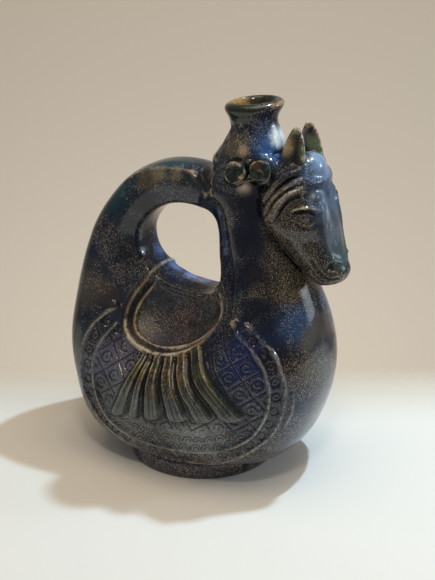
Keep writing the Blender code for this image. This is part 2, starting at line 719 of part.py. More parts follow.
# Hollow: the ring and the head drawn in by the wall, and the bore down through the mouth
ring_hollow = loft(ring_shape(HOLLOW_SECTIONS, HOLLOW_INNER_POINTS, HOLLOW_OUTER_POINTS, WALL / PART), True)
fused(ewer, helper("ring_hollow", ring_hollow), "DIFFERENCE")
head_hollow = loft(head_shape(HEAD_HOLLOW_SECTIONS, HEAD_HOLLOW_POINTS, HEAD_WALL / PART), False)
fused(ewer, helper("head_hollow", head_hollow), "DIFFERENCE")
bore_profile = [
    (MOUTH_BORE_RADIUS + rounding, LIP_TOP * PART + 2 * rounding),
    (MOUTH_BORE_RADIUS + rounding, LIP_TOP * PART),
    (MOUTH_BORE_RADIUS, LIP_TOP * PART - rounding),
]
for radius, height in MOUTH_PROFILE[1:]:
    if height > BULB_BASE:
        bore_profile.append((max(radius * PART - WALL, THROAT_RADIUS), height * PART))
bore_profile.append((bore_profile[-1][0], BORE_BOTTOM * PART))
bore = turned("bore", bore_profile, TURNED_SECTIONS)
lean_mouth(bore)
fused(ewer, helper("bore", bore), "DIFFERENCE")

# Finished: the Booleans taken in, and the origin under the middle of the whole vessel
body = settled(ewer)
bmesh.ops.remove_doubles(body, verts=body.verts, dist=PART / 100.0)
bmesh.ops.dissolve_degenerate(body, dist=PART / 100.0, edges=body.edges)
bmesh.ops.triangulate(body, faces=body.faces)
reach = [vert.co.x for vert in body.verts]
bmesh.ops.translate(body, verts=body.verts, vec=(-(min(reach) + max(reach)) / 2, 0.0, 0.0))
ewer = make_object("ewer", body, parts)
ewer.data.shade_smooth()
ewer.data.set_sharp_from_angle(angle=math.radians(35.0))
ewer.data.materials.append(glaze_material())
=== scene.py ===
"""Horse-head ewer, dressed: the fired and glazed vessel on a pale studio table."""

import math

import bmesh
import bpy
import numpy as np
from mathutils import Matrix, Vector
from mathutils.bvhtree import BVHTree
from mathutils.kdtree import KDTree


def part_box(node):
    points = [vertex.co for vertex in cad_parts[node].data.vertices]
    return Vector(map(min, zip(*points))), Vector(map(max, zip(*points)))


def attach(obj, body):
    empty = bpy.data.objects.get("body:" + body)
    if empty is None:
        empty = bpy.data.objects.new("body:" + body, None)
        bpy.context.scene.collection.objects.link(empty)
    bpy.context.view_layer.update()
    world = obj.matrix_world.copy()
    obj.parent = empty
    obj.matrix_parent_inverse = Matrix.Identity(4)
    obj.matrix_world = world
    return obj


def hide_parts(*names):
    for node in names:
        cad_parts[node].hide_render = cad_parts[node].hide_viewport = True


# The view
# The photograph is taken from the horse's right front, a little above the rim of the body.
# The camera stands still and looks at the middle of the vessel through a long lens.
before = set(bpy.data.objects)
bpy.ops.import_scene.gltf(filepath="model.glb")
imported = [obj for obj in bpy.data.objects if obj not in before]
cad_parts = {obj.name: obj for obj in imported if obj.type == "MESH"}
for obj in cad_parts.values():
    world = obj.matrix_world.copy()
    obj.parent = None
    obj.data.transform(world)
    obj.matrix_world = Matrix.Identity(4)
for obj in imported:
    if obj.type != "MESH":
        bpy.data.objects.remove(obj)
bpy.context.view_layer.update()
cad_low, cad_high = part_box("ewer")

view_turn, view_rise, view_distance = math.radians(30.0), math.radians(22.0), 0.95
looked_at = Vector((0.0039, 0.0, 0.1252))
camera_data = bpy.data.cameras.new("camera")
camera_data.lens = 83.67
camera_data.sensor_fit = "VERTICAL"
camera_data.sensor_height = 36.0
camera_data.clip_start = 0.01
camera = bpy.data.objects.new("camera", camera_data)
bpy.context.scene.collection.objects.link(camera)
towards_camera = Vector((
    math.sin(view_turn) * math.cos(view_rise),
    -math.cos(view_turn) * math.cos(view_rise),
    math.sin(view_rise),
))
camera.location = looked_at + view_distance * towards_camera
camera.rotation_euler = towards_camera.to_track_quat("Z", "Y").to_euler()
bpy.context.scene.camera = camera

# Body: the cast ring
# The belly, the loop handle and the neck are one hollow ring of stoneware, fat below and thin above.
# It is cast in a two-part mould, so it is drawn here as sections round the middle of the finger loop.
PART = 0.001
LOOP_CENTRE = (-10.0, 158.0)
WALL = 5.5

# Angle in degrees, then in millimetres: the loop's edge, the outside, half the width, half the width at
# the loop's edge, then the share of the way out where it is widest, and the outer power
RING = (
    (0, 29.5, 87.0, 30.0, 15.0, 0.46, 2.2),
    (15, 30.5, 80.0, 28.5, 15.0, 0.46, 2.3),
    (30, 33.5, 82.0, 27.5, 15.0, 0.46, 2.6),
    (40, 35.5, 88.0, 28.0, 14.5, 0.48, 3.6),
    (50, 36.0, 90.0, 28.0, 14.5, 0.50, 4.0),
    (57, 35.0, 84.0, 26.5, 14.5, 0.50, 4.0),
    (61, 33.8, 75.5, 23.5, 14.0, 0.50, 3.6),
    (65, 32.6, 68.5, 18.5, 13.5, 0.52, 3.2),
    (70, 31.8, 62.8, 16.6, 13.0, 0.52, 3.0),
    (79, 30.8, 59.8, 16.6, 13.0, 0.52, 3.0),
    (95, 29.8, 59.4, 17.0, 13.0, 0.52, 3.0),
    (115, 29.8, 60.6, 17.5, 13.0, 0.52, 3.0),
    (132, 30.5, 62.3, 19.0, 13.5, 0.52, 2.8),
    (152, 32.0, 65.0, 22.0, 14.0, 0.52, 2.6),
    (164, 33.5, 68.3, 25.0, 14.0, 0.52, 2.5),
    (176, 35.0, 72.5, 29.0, 14.5, 0.52, 2.4),
    (186, 35.5, 76.8, 33.0, 15.0, 0.52, 2.3),
    (200, 35.0, 86.0, 40.0, 15.0, 0.52, 2.2),
    (212, 33.3, 98.5, 46.5, 15.0, 0.54, 2.2),
    (224, 31.5, 119.0, 51.5, 15.0, 0.56, 2.3),
    (235, 30.6, 138.0, 55.0, 15.5, 0.56, 2.5),
    (246, 29.8, 152.5, 57.5, 16.0, 0.56, 3.4),
    (258, 29.8, 153.5, 59.5, 16.0, 0.56, 4.2),
    (270, 30.0, 151.0, 60.5, 16.0, 0.56, 4.6),
    (282, 31.2, 153.5, 60.5, 16.0, 0.54, 4.2),
    (292, 33.6, 159.5, 60.0, 17.0, 0.48, 3.5),
    (302, 36.2, 162.5, 58.5, 18.5, 0.43, 2.7),
    (312, 38.0, 150.5, 55.5, 19.5, 0.42, 2.5),
    (325, 38.0, 133.0, 49.0, 19.5, 0.42, 2.3),
    (337, 34.5, 115.0, 41.5, 17.5, 0.43, 2.2),
    (348, 31.5, 99.0, 35.0, 16.0, 0.45, 2.2),
)


def curve_between(places, values, where):
    """The smooth curve through four columns of values that stand at four places, between the middle two."""
    p0, p1, p2, p3 = places
    t = (where - p1) / (p2 - p1)
    found = []
    for a, b, c, d in zip(*values):
        slope_in = (c - a) / (p2 - p0) * (p2 - p1)
        slope_out = (d - b) / (p3 - p1) * (p2 - p1)
        start = b * (2 * t**3 - 3 * t**2 + 1) + slope_in * (t**3 - 2 * t**2 + t)
        found.append(start + c * (3 * t**2 - 2 * t**3) + slope_out * (t**3 - t**2))
    return found


def round_the_ring(angle):
    """The ring's measures on a smooth closed curve, at an angle in degrees."""
    count = len(RING)
    angle %= 360.0
    i = max(k for k in range(count) if RING[k][0] <= angle)
    picks = [RING[(i + k) % count] for k in (-1, 0, 1, 2)]
    places = [RING[(i + k) % count][0] + 360.0 * ((i + k) // count) for k in (-1, 0, 1, 2)]
    return curve_between(places, [row[1:] for row in picks], angle)


def ring_section(angle, inset, inner_points, outer_points):
    """One closed section of the ring: distances out from the loop's centre, and sideways."""
    near, far, width, edge, widest, power = round_the_ring(angle)
    near, far, width, edge = near + inset, far - inset, width - inset, edge - inset
    depth = far - near
    side = []
    for k in range(inner_points):
        share = widest * (k / inner_points) ** 1.6
        swell = share / widest
        wide = edge + (width - edge) * swell * swell * (3 - 2 * swell)
        rounding = min(1.0, share * depth / 3.5)
        wide *= (1 - (1 - rounding) ** 2.5) ** 0.4
        side.append((near + share * depth, wide))
    for k in range(outer_points):
        turn = math.pi / 2 * k / outer_points
        share = widest + (1 - widest) * math.sin(turn) ** (2 / power)
        side.append((near + share * depth, width * math.cos(turn) ** (2 / power)))
    side.append((far, 0.0))
    return side + [(out, -wide) for out, wide in side[-2:0:-1]]


def ring_form(sections, inner_points, outer_points, inset=0.0):
    """The ring as a closed form: a circle spun about the loop's middle, then drawn to its sections."""
    count = 2 * (inner_points + outer_points)
    bm = bmesh.new()
    bmesh.ops.create_circle(bm, segments=count, radius=1.0)
    places = {}
    for vert in bm.verts:
        places[vert.index] = math.atan2(vert.co.y, -vert.co.x)
    bmesh.ops.translate(bm, verts=bm.verts, vec=(3.0, 0.0, 0.0))
    bmesh.ops.spin(
        bm, geom=list(bm.verts) + list(bm.edges), cent=(0, 0, 0), axis=(0, -1, 0),
        angle=2 * math.pi, steps=sections, use_merge=True,
    )
    drawn = [ring_section(360.0 * k / sections, inset, inner_points, outer_points) for k in range(sections)]
    x, z = LOOP_CENTRE
    for vert in bm.verts:
        out = math.hypot(vert.co.x, vert.co.z)
        angle = math.atan2(vert.co.z, vert.co.x)
        place = math.atan2(vert.co.y, 3.0 - out)
        section = drawn[round(angle / (2 * math.pi) * sections) % sections]
        reach, wide = section[round(place / (2 * math.pi) * count) % count]
        vert.co = Vector((x + reach * math.cos(angle), wide, z + reach * math.sin(angle))) * PART
    bmesh.ops.recalc_face_normals(bm, faces=bm.faces)
    return bm


ring = ring_form(96, 12, 24)

# Head
# The horse's head is cast with the body and leans on the neck, its chin tucked in towards the chest.
# It is a blunt lozenge in section: sections run from the forelock down to the lips.

# Place along the head, the front point (x, z), the back point (x, z), half the width, the share of the
# way back where it is widest, and the powers of the front and the back, in millimetres
HEAD = (
    (0.0, 82.0, 235.0, 66.0, 231.5, 10.0, 0.50, 2.2, 2.0),
    (1.0, 88.0, 231.5, 57.0, 223.5, 18.0, 0.50, 2.3, 2.2),
    (2.0, 91.0, 222.0, 53.0, 212.0, 22.5, 0.50, 2.4, 2.2),
    (3.0, 95.0, 209.0, 53.0, 200.5, 24.0, 0.52, 2.4, 2.3),
    (4.0, 99.5, 196.0, 57.0, 187.0, 23.5, 0.55, 2.3, 2.4),
    (5.0, 103.5, 182.0, 64.0, 175.0, 19.5, 0.52, 2.3, 2.4),
    (6.0, 106.5, 170.0, 73.0, 163.0, 15.0, 0.48, 2.4, 2.3),
    (7.0, 110.0, 163.0, 80.0, 155.0, 13.5, 0.40, 2.4, 2.2),
    (8.0, 111.5, 157.5, 86.0, 149.5, 12.5, 0.40, 2.3, 2.2),
    (9.0, 109.0, 151.5, 92.0, 146.5, 8.5, 0.45, 2.2, 2.0),
)


def along(rows, where):
    """The rows' columns on a smooth curve, at a value of their first column."""
    last = len(rows) - 1
    where = min(max(where, rows[0][0]), rows[last][0])
    i = max(k for k in range(last) if rows[k][0] <= where)
    picks = [rows[max(i - 1, 0)], rows[i], rows[i + 1], rows[min(i + 2, last)]]
    places = [row[0] for row in picks]
    if i == 0:
        places[0] = 2 * places[1] - places[2]
    if i == last - 1:
        places[3] = 2 * places[2] - places[1]
    return curve_between(places, [row[1:] for row in picks], where)


def drawn_ball(round_points, sections, point_at):
    """A ball drawn out to sections, poles and all: point_at takes a section and a turn in radians."""
    bm = bmesh.new()
    bmesh.ops.create_uvsphere(bm, u_segments=round_points, v_segments=sections + 2, radius=1.0)
    for vert in bm.verts:
        ring_number = round(math.acos(min(max(vert.co.z, -1.0), 1.0)) / math.pi * (sections + 2)) - 1
        turn = math.atan2(vert.co.y, vert.co.x)
        if ring_number < 0 or ring_number > sections:
            end = min(max(ring_number, 0), sections)
            ends = [point_at(end, 2 * math.pi * k / round_points) for k in range(round_points)]
            vert.co = sum(ends, Vector()) / round_points
        else:
            vert.co = point_at(ring_number, turn)
    bmesh.ops.recalc_face_normals(bm, faces=bm.faces)
    return bm


def head_form(sections, round_points, inset=0.0):
    """The head, drawn in by an inset, but let out into the neck."""
    first = inset / 20.0
    last = HEAD[-1][0] - inset / 7.0

    def point_at(section, turn):
        place = first + (last - first) * section / sections
        front_x, front_z, back_x, back_z, width, widest, front_power, back_power = along(HEAD, place)
        front_x, back_x, width = front_x - inset, back_x - 0.6 * inset, width - inset
        ahead, aside = math.cos(turn), math.sin(turn)
        power = front_power if ahead > 0 else back_power
        ahead = math.copysign(abs(ahead) ** (2 / power), ahead)
        aside = math.copysign(abs(aside) ** (2 / power), aside)
        share = widest - widest * ahead if ahead > 0 else widest - (1 - widest) * ahead
        x = front_x + (back_x - front_x) * share
        z = front_z + (back_z - front_z) * share
        return Vector((x, width * aside, z)) * PART

    return drawn_ball(round_points, sections, point_at)


head = head_form(60, 72)
head_skin = BVHTree.FromBMesh(head)

# Ears and forelock
# Two leaf-shaped ears are modelled by hand and luted on behind the brow, hollowed on their outer face.
# The forelock is a smooth pad of clay between them.

# Place along the ear, its middle (x, y, z), half the length, half the thickness and the hollow's depth
EAR = (
    (0.0, 75.0, 14.0, 222.0, 10.0, 6.0, 0.0),
    (1.0, 75.4, 13.8, 231.0, 9.0, 5.4, 5.2),
    (2.0, 75.8, 12.6, 239.0, 8.0, 4.8, 6.4),
    (3.0, 75.8, 10.8, 247.0, 5.8, 3.8, 4.6),
    (4.0, 75.6, 9.0, 254.0, 2.2, 1.8, 0.6),
)


def hump(distance, reach):
    """A smooth hump of height 1 that falls away over a reach."""
    return math.exp(-((distance / reach) ** 2))


def rise(value, low, high):
    """A smooth rise from 0 at low to 1 at high."""
    share = min(max((value - low) / (high - low), 0.0), 1.0)
    return share * share * (3.0 - 2.0 * share)


def ear_form(flank):
    """One ear; flank is 1 or -1 for the side it stands on."""

    def point_at(section, turn):
        x, y, z, length, thickness, hollow = along(EAR, EAR[-1][0] * section / 24)
        ahead, out = math.cos(turn), math.sin(turn)
        scoop = hollow * hump(ahead - 0.15, 0.6) if out > 0 else 0.0
        return Vector((x + length * ahead, flank * (y + thickness * out - scoop), z)) * PART

    return drawn_ball(32, 24, point_at)


FORELOCK_MIDDLE = (81.0, 0.0, 225.5)
FORELOCK_HALF = (11.0, 13.0, 10.5)
forelock = bmesh.new()
bmesh.ops.create_uvsphere(forelock, u_segments=32, v_segments=24, radius=1.0)
bmesh.ops.scale(forelock, verts=forelock.verts, vec=Vector(FORELOCK_HALF) * PART)
bmesh.ops.translate(forelock, verts=forelock.verts, vec=Vector(FORELOCK_MIDDLE) * PART)
forms = [ring, head, forelock, ear_form(1), ear_form(-1)]

# Mouth
# The neck ends in a round bulb with a bead at its base and a flared lip, turned on the wheel and tipped
# a little forward on the poll behind the ears. A low boss on each side carries the second medallion.
MOUTH_PROFILE = (
    (19.2, 259.8), (17.0, 256.2), (15.5, 252.6), (15.5, 249.4), (17.0, 245.4), (19.4, 240.4),
    (22.0, 235.4), (23.6, 231.2), (24.8, 229.2), (24.8, 226.8), (23.6, 224.0), (22.0, 216.0),
)
MOUTH_AXIS = ((200.0, 34.0), (224.0, 35.5), (234.0, 38.6), (244.0, 40.6), (256.0, 39.5), (268.0, 40.2))
MOUTH_TILT = math.tan(math.radians(6.0))


def turned_form(profile, steps):
    """A turned body about Z, from a half profile (radius, height) that runs down, closed on the axis."""
    bm = bmesh.new()
    points = [(0.0, profile[0][1]), *profile, (0.0, profile[-1][1])]
    verts = [bm.verts.new(Vector((radius, 0.0, height)) * PART) for radius, height in points]
    edges = [bm.edges.new(pair) for pair in zip(verts, verts[1:])]
    bmesh.ops.spin(
        bm, geom=verts + edges, cent=(0, 0, 0), axis=(0, 0, 1),
        angle=2 * math.pi, steps=steps, use_merge=True,
    )
    bmesh.ops.remove_doubles(bm, verts=bm.verts, dist=PART / 100)
    bmesh.ops.recalc_face_normals(bm, faces=bm.faces)
    return bm


def lean_mouth(bm):
    """Sets a turned body on the mouth's axis, which wanders forward, and tips it back."""
    for vert in bm.verts:
        axis = along(MOUTH_AXIS, vert.co.z / PART)[0]
        vert.co.z += vert.co.x * MOUTH_TILT
        vert.co.x += axis * PART


LIP_ROUND = ((15.2, 265.6), (17.6, 265.2), (19.4, 263.9), (20.0, 262.0))
BOSS_MIDDLE = (57.0, 15.0, 224.5)
BOSS_RADIUS = 10.0
bulb = turned_form(LIP_ROUND + MOUTH_PROFILE, 64)
lean_mouth(bulb)
forms.append(bulb)
for flank in (1, -1):
    x, aside, z = BOSS_MIDDLE
    boss = bmesh.new()
    bmesh.ops.create_uvsphere(boss, u_segments=32, v_segments=24, radius=BOSS_RADIUS * PART)
    bmesh.ops.translate(boss, verts=boss.verts, vec=Vector((x, flank * aside, z)) * PART)
    forms.append(boss)

# The clay as it leaves the mould
# All the forms are pressed into one lump, the seams are smoothed with a wet sponge, and only the right
# half is kept to be carved, because the two flanks mirror each other.
GRAIN = 1.15
SPONGING = 2


def merged_form(parts):
    """All the parts in one bmesh."""
    whole = bmesh.new()
    for part in parts:
        spare = bpy.data.meshes.new("form")
        part.to_mesh(spare)
        part.free()
        whole.from_mesh(spare)
        bpy.data.meshes.remove(spare)
    return whole


def new_object(name, bm):
    """An object that takes a bmesh as its mesh."""
    mesh = bpy.data.meshes.new(name)
    bm.to_mesh(mesh)
    bm.free()
    made = bpy.data.objects.new(name, mesh)
    bpy.context.scene.collection.objects.link(made)
    return made


def settled(made):
    """A bmesh of an object with its modifiers taken in; the object goes."""
    bpy.context.view_layer.update()
    mesh = bpy.data.meshes.new_from_object(made.evaluated_get(bpy.context.evaluated_depsgraph_get()))
    bm = bmesh.new()
    bm.from_mesh(mesh)
    bpy.data.meshes.remove(mesh)
    bpy.data.objects.remove(made, do_unlink=True)
    return bm


def sponged(bm, verts, passes):
    """Smooths a form as a wet sponge does."""
    for _ in range(passes):
        bmesh.ops.smooth_vert(
            bm, verts=verts, factor=0.5, use_axis_x=True, use_axis_y=True, use_axis_z=True,
        )


lump = new_object("lump", merged_form(forms))
remesh = lump.modifiers.new("one lump", "REMESH")
remesh.mode = "VOXEL"
remesh.voxel_size = GRAIN * PART
clay = settled(lump)
sponged(clay, clay.verts, SPONGING)
everything = list(clay.verts) + list(clay.edges) + list(clay.faces)
bmesh.ops.bisect_plane(clay, geom=everything, plane_co=(0, 0, 0), plane_no=(0, 1, 0), clear_outer=True)

# Places that take fine carving get finer clay: the saddlecloth, the carved side of the head, and the
# bulb with its medallions. Each is a ball (x, y, z) and its radius, in millimetres.
FINE_PLACES = ((0.0, -50.0, 75.0, 96.0), (84.0, -20.0, 200.0, 34.0), (100.0, -8.0, 166.0, 24.0),
               (48.0, -22.0, 226.0, 24.0), (41.0, -10.0, 246.0, 24.0))
fine_edges = set()
for edge in clay.edges:
    middle = (edge.verts[0].co + edge.verts[1].co) / (2 * PART)
    if middle.y < -2.0 and any((middle - Vector(place[:3])).length < place[3] for place in FINE_PLACES):
        fine_edges.add(edge)
bmesh.ops.subdivide_edges(clay, edges=list(fine_edges), cuts=1, use_grid_fill=True)
sponged(clay, clay.verts, 1)
skin = BVHTree.FromBMesh(clay)
clay.normal_update()

# Saddle
# A rolled rim lies round a dished seat below the loop and climbs over the loop's inner face at both ends;
# a second, lower roll lies inside it. It is pressed from the mould and sharpened with a wooden tool.
SADDLE_RIM = (
    (-33.5, 136.0), (-36.0, 130.0), (-41.0, 120.5), (-43.0, 111.0), (-41.0, 100.5), (-34.0, 92.5),
    (-20.0, 87.8), (-3.0, 88.2), (13.5, 94.5), (28.0, 106.0), (36.0, 119.0), (35.0, 129.0), (24.0, 135.5),
)
INNER_ROLL = 6.4


def curve_through(points, step):
    """Points of (x, z) about a step apart, on a smooth curve through a path's own points."""
    rows = [(float(k), *point) for k, point in enumerate(points)]
    found = []
    for k in range(len(points) - 1):
        count = max(1, math.ceil(math.dist(points[k], points[k + 1]) / step))
        found += [tuple(along(rows, k + j / count)) for j in range(count)]
    return found + [tuple(points[-1])]


def on_flank(x, z):
    """The point of the clay that is met from the right side at a place."""
    return skin.ray_cast(Vector((x, -300.0, z)) * PART, Vector((0.0, 1.0, 0.0)))[0]


def across_loop(angle):
    """Points a millimetre apart, straight across half of the loop's inner face at an angle round it."""
    near, _, _, edge, _, _ = round_the_ring(angle)
    x = LOOP_CENTRE[0] + near * math.cos(math.radians(angle))
    z = LOOP_CENTRE[1] + near * math.sin(math.radians(angle))
    return [Vector((x, -aside, z)) * PART for aside in range(int(edge))]


def nearness(points, more=()):
    """A function that finds a point's distance from a path on the flank, and its place from the ends."""
    laid = [on_flank(x, z) for x, z in curve_through(points, 0.5)]
    laid = [point for point in laid if point is not None] + list(more)
    tree = KDTree(len(laid))
    for k, point in enumerate(laid):
        tree.insert(point, k)
    tree.balance()

    def near(point):
        place, distance = tree.find(point)[1:]
        return distance / PART, place / 2, min(place, len(laid) - 1 - place) / 2

    return near


def within(x, z, outline):
    """Whether a point lies within a closed outline of (x, z) points."""
    found = False
    last_x, last_z = outline[-1]
    for here_x, here_z in outline:
        if (here_z > z) != (last_z > z):
            if x < here_x + (z - here_z) * (last_x - here_x) / (last_z - here_z):
                found = not found
        last_x, last_z = here_x, here_z
    return found


rim_crossings = [point for angle in (222.0, 320.0) for point in across_loop(angle)]
near_rim = nearness(SADDLE_RIM, rim_crossings)
seat_outline = curve_through(SADDLE_RIM, 2.0) + [LOOP_CENTRE]


def rim_height(point, x, z, on_side):
    """The rim's rolls and the dished seat, whether the place is in the seat, and how near the rim is."""
    off_rim = near_rim(point)[0]
    height = (0.9 + 2.1 * on_side) * hump(off_rim, 2.4)
    in_seat = within(x, z, seat_outline)
    if in_seat:
        dish = 1.7 * rise(off_rim, 2.2, 5.0) + 3.0 * rise(off_rim, 7.0, 22.0)
        height += on_side * (1.7 * hump(off_rim - INNER_ROLL, 1.3) - dish)
    else:
        height += on_side * 0.7 * hump(off_rim - 4.2, 0.8)
    rolls = max(hump(off_rim, 2.0), hump(off_rim - INNER_ROLL, 1.6) * on_side if in_seat else 0.0)
    return height, in_seat, off_rim, rolls


# Saddlecloth
# Below the saddle hangs a cloth edged by two raised cords with a band between them; a short strap lies
# before it on the chest, and two beads sit where the cords meet the rim. Cords are trailed in slip.
CLOTH_EDGE = (
    (-46.0, 113.0), (-54.5, 109.0), (-63.0, 97.5), (-68.0, 80.0), (-68.0, 60.0), (-62.0, 44.0),
    (-50.0, 30.0), (-33.0, 20.0), (-10.0, 15.0), (15.0, 14.5), (40.0, 19.5), (61.0, 31.0),
    (77.0, 47.0), (84.5, 66.0), (85.0, 86.0), (79.0, 105.5), (67.0, 118.5), (56.0, 126.0),
)
CLOTH_CORD = (
    (-45.0, 104.0), (-52.5, 93.5), (-57.0, 80.0), (-57.0, 63.0), (-52.5, 46.5), (-44.0, 35.0),
    (-30.0, 28.0), (-12.0, 25.0), (11.0, 25.5), (34.0, 29.0), (53.0, 36.0), (67.0, 46.5), (75.5, 62.0),
    (78.0, 79.0), (74.0, 96.5), (65.0, 109.5), (54.0, 119.0), (49.0, 124.0),
)
CHEST_STRAP = ((88.5, 80.0), (89.0, 70.0), (87.0, 60.0), (83.0, 50.0))
near_edge = nearness(CLOTH_EDGE)
near_cord = nearness(CLOTH_CORD)
near_strap = nearness(CHEST_STRAP)

# Each cord's nearness, its height and its reach
CORDS = ((near_edge, 1.9, 1.6), (near_cord, 1.7, 1.5), (near_strap, 1.0, 1.5))
cloth_outline = curve_through(CLOTH_EDGE, 3.0)
field_outline = curve_through(CLOTH_CORD, 3.0)

# Each bead is a place (x, z), its height and its reach
BEADS = ((49.8, 124.5, 3.4, 3.0), (57.0, 122.5, 1.6, 2.6), (-51.0, 114.5, 2.0, 2.6))
beads = [(on_flank(x, z), tall, reach) for x, z, tall, reach in BEADS]


def cord_height(distance, from_end, reach):
    """A round cord that dies away towards its ends."""
    return hump(distance, reach) * rise(from_end, -1.0, 8.0)


# Stamped ground
# The cloth is stamped before firing: a slanting lattice with an open ring in each lozenge, rings along
# the band between the cords, and rows of scales under the pleats. Glaze pools in the stamps.
LATTICE_TURN = math.radians(36.0)
LATTICE_PITCH = 13.5
LATTICE_CROSSINGS = ((-38.1, 79.7), (53.5, 98.4))
LINE_REACH = 0.6
BAND_RING_PITCH = 11.0
SCALE_PITCH = 9.2
SCALE_ROW = 6.4
SCALES_BELOW = 50.0
BAND_PATH = (
    (-50.5, 108.5), (-58.0, 95.5), (-62.5, 80.0), (-62.5, 61.5), (-57.0, 45.0), (-47.0, 32.5), (-31.5, 24.0),
    (-11.0, 20.0), (13.0, 20.0), (37.0, 24.2), (57.0, 33.5), (72.0, 46.7), (80.0, 64.0), (81.5, 82.5),
    (76.5, 101.0), (66.0, 114.0), (55.0, 121.5),
)
near_band = nearness(BAND_PATH)


def groove(distance, reach):
    """A stamped line of depth 1 that is steep at its edges."""
    return max(0.0, 1.0 - (distance / reach) ** 4) if abs(distance) < reach else 0.0


def open_ring(across, up, radius):
    """A stamped ring with a gap at its lower right, and a dot in its middle."""
    distance = math.hypot(across, up)
    turn = math.degrees(math.atan2(up, across)) % 360.0
    gap = rise(abs(turn - 300.0), 18.0, 30.0)
    return max(groove(distance - radius, 0.75) * gap, 0.7 * groove(distance, 1.1))


def stamped(x, z, point, in_field):
    """The stamped ground's depth at a place on the cloth, from 0 to 1."""
    if not in_field:
        distance, place, from_end = near_band(point)
        if from_end < 4.0:
            return 0.0
        return open_ring(place % BAND_RING_PITCH - BAND_RING_PITCH / 2, distance, 3.0)
    distance, place, _ = near_cord(point)
    if z < SCALES_BELOW and distance < 17.0:
        row, up = divmod(distance - 1.5, SCALE_ROW)
        across = (place + SCALE_PITCH / 2 * (row % 2)) % SCALE_PITCH - SCALE_PITCH / 2
        from_middle = math.hypot(across, up)
        if row < 0 or row > 1:
            return 0.0
        return max(groove(from_middle - 4.4, LINE_REACH), groove(from_middle - 2.3, 0.55))
    start_x, start_z = LATTICE_CROSSINGS[0 if x < 0 else 1]
    along_line = (x - start_x) * math.cos(LATTICE_TURN) + (z - start_z) * math.sin(LATTICE_TURN)
    across_line = (z - start_z) * math.cos(LATTICE_TURN) - (x - start_x) * math.sin(LATTICE_TURN)
    first = (along_line + LATTICE_PITCH / 2) % LATTICE_PITCH - LATTICE_PITCH / 2
    second = (across_line + LATTICE_PITCH / 2) % LATTICE_PITCH - LATTICE_PITCH / 2
    lines = max(groove(first, LINE_REACH), groove(second, LINE_REACH))
    ring_across = along_line % LATTICE_PITCH - LATTICE_PITCH / 2
    ring_up = across_line % LATTICE_PITCH - LATTICE_PITCH / 2
    return max(lines, open_ring(ring_across, ring_up, 3.4))


# Pleats
# Six pleats of cloth fan out below the saddle and end on a scalloped hem that stands off the body.
# They are cut into a pad of clay with a loop tool, each pleat a soft roll between two sharp folds.
FAN_POINT = (-3.0, 131.0)
FOLDS_ABOVE = (-22.3, -16.0, -11.5, -2.0, 11.6, 26.2, 45.3)
FOLDS_BELOW = (-24.5, -14.8, -8.4, 4.9, 20.5, 33.0, 45.3)
FAN_DROP = 77.0
FAN_TOP = 43.0
FAN_SIDE = 1.25
SCALLOP = 7.0
HEM_ROLL = 6.5


def fan_height(x, z):
    """How far the pleats stand up, how much the place is on a crease, how much it is darkened in a fold and
    by the painted shadow under the hem, and how much it is in the fan.
    """
    across, down = x - FAN_POINT[0], FAN_POINT[1] - z
    out = math.hypot(across, down)
    angle = math.degrees(math.atan2(across, down))
    lowest = FAN_DROP / math.cos(math.radians(angle - (FOLDS_BELOW[0] + FOLDS_BELOW[-1]) / 2))
    fall = rise(out, FAN_TOP, lowest)
    folds = [above + (below - above) * fall for above, below in zip(FOLDS_ABOVE, FOLDS_BELOW)]
    pleat = min(max(sum(fold <= angle for fold in folds) - 1, 0), len(folds) - 2)
    width = folds[pleat + 1] - folds[pleat]
    share = (angle - folds[pleat]) / width
    crown = 1.0 - abs(math.cos(math.pi * share)) ** (2.8 - 0.6 * fall)
    hem = lowest + SCALLOP * math.sqrt(max(0.0, 1.0 - (2.0 * share - 1.0) ** 2))
    wide = out * math.radians(width)
    crease = max(hump((share - 0.30) * wide, 0.65), 0.8 * hump((share - 0.74) * wide, 0.6))
    # A fold is darkened later, both as glaze that pools there and as painted shade
    fold = 1.0 - rise(crown, 0.02, 0.35)
    crown += (0.28 - 0.12 * fall) * (crease - 0.9 * hump((share - 0.52) * wide, 1.3))
    height = 0.6 + (2.6 + 1.6 * fall) * crown
    left = rise(angle, folds[0] - FAN_SIDE, folds[0] + FAN_SIDE)
    right = 1.0 - rise(angle, folds[-1] - FAN_SIDE, folds[-1] + FAN_SIDE)
    in_fan = left * right * (1.0 - rise(out, hem - 1.5, hem))
    height += crown * hump(out - (hem - SCALLOP), 5.0)
    height *= math.sqrt(1.0 - min(max((out - hem) / HEM_ROLL + 1.0, 0.0), 1.0) ** 2)
    # Painted shadow: a dark band just below the hem, where the lobes stand off the body
    painted_shadow_under_hem = 0.8 * hump(out - (hem + 1.2), 1.6) * left * right
    return height * in_fan, crease * (1.0 - 0.45 * fall), max(fold * in_fan, painted_shadow_under_hem), in_fan


# Carving of the head
# The face is finished by hand: three locks of mane sweep back from the forelock to a point on the neck,
# a lid lies over an almond eye, a ridge edges the nose, and the nostrils and lips are cut in.
LOCKS = (
    ((87.5, 226.4), (84.0, 227.6), (80.0, 226.8), (74.0, 223.0), (65.5, 214.0), (58.5, 204.0), (56.5, 196.0),
     (60.5, 187.5)),
    ((89.5, 220.4), (84.0, 221.4), (79.5, 219.5), (70.0, 211.0), (63.0, 201.0), (60.8, 194.5), (61.5, 187.0)),
    ((90.5, 215.2), (85.0, 216.0), (79.5, 213.8), (73.0, 207.5), (67.5, 198.5), (64.0, 192.5), (62.5, 186.5)),
)
BETWEEN_LOCKS = (
    ((87.8, 223.4), (84.5, 224.4), (80.0, 223.4), (72.0, 217.2), (64.5, 207.5), (59.5, 200.0), (59.0, 193.0)),
    ((89.0, 217.6), (85.5, 218.6), (79.5, 216.8), (71.5, 209.5), (65.5, 200.0), (62.4, 193.0)),
    ((90.0, 211.6), (86.0, 212.2), (80.0, 210.2), (75.0, 204.5), (70.5, 196.5), (66.0, 189.5)),
)

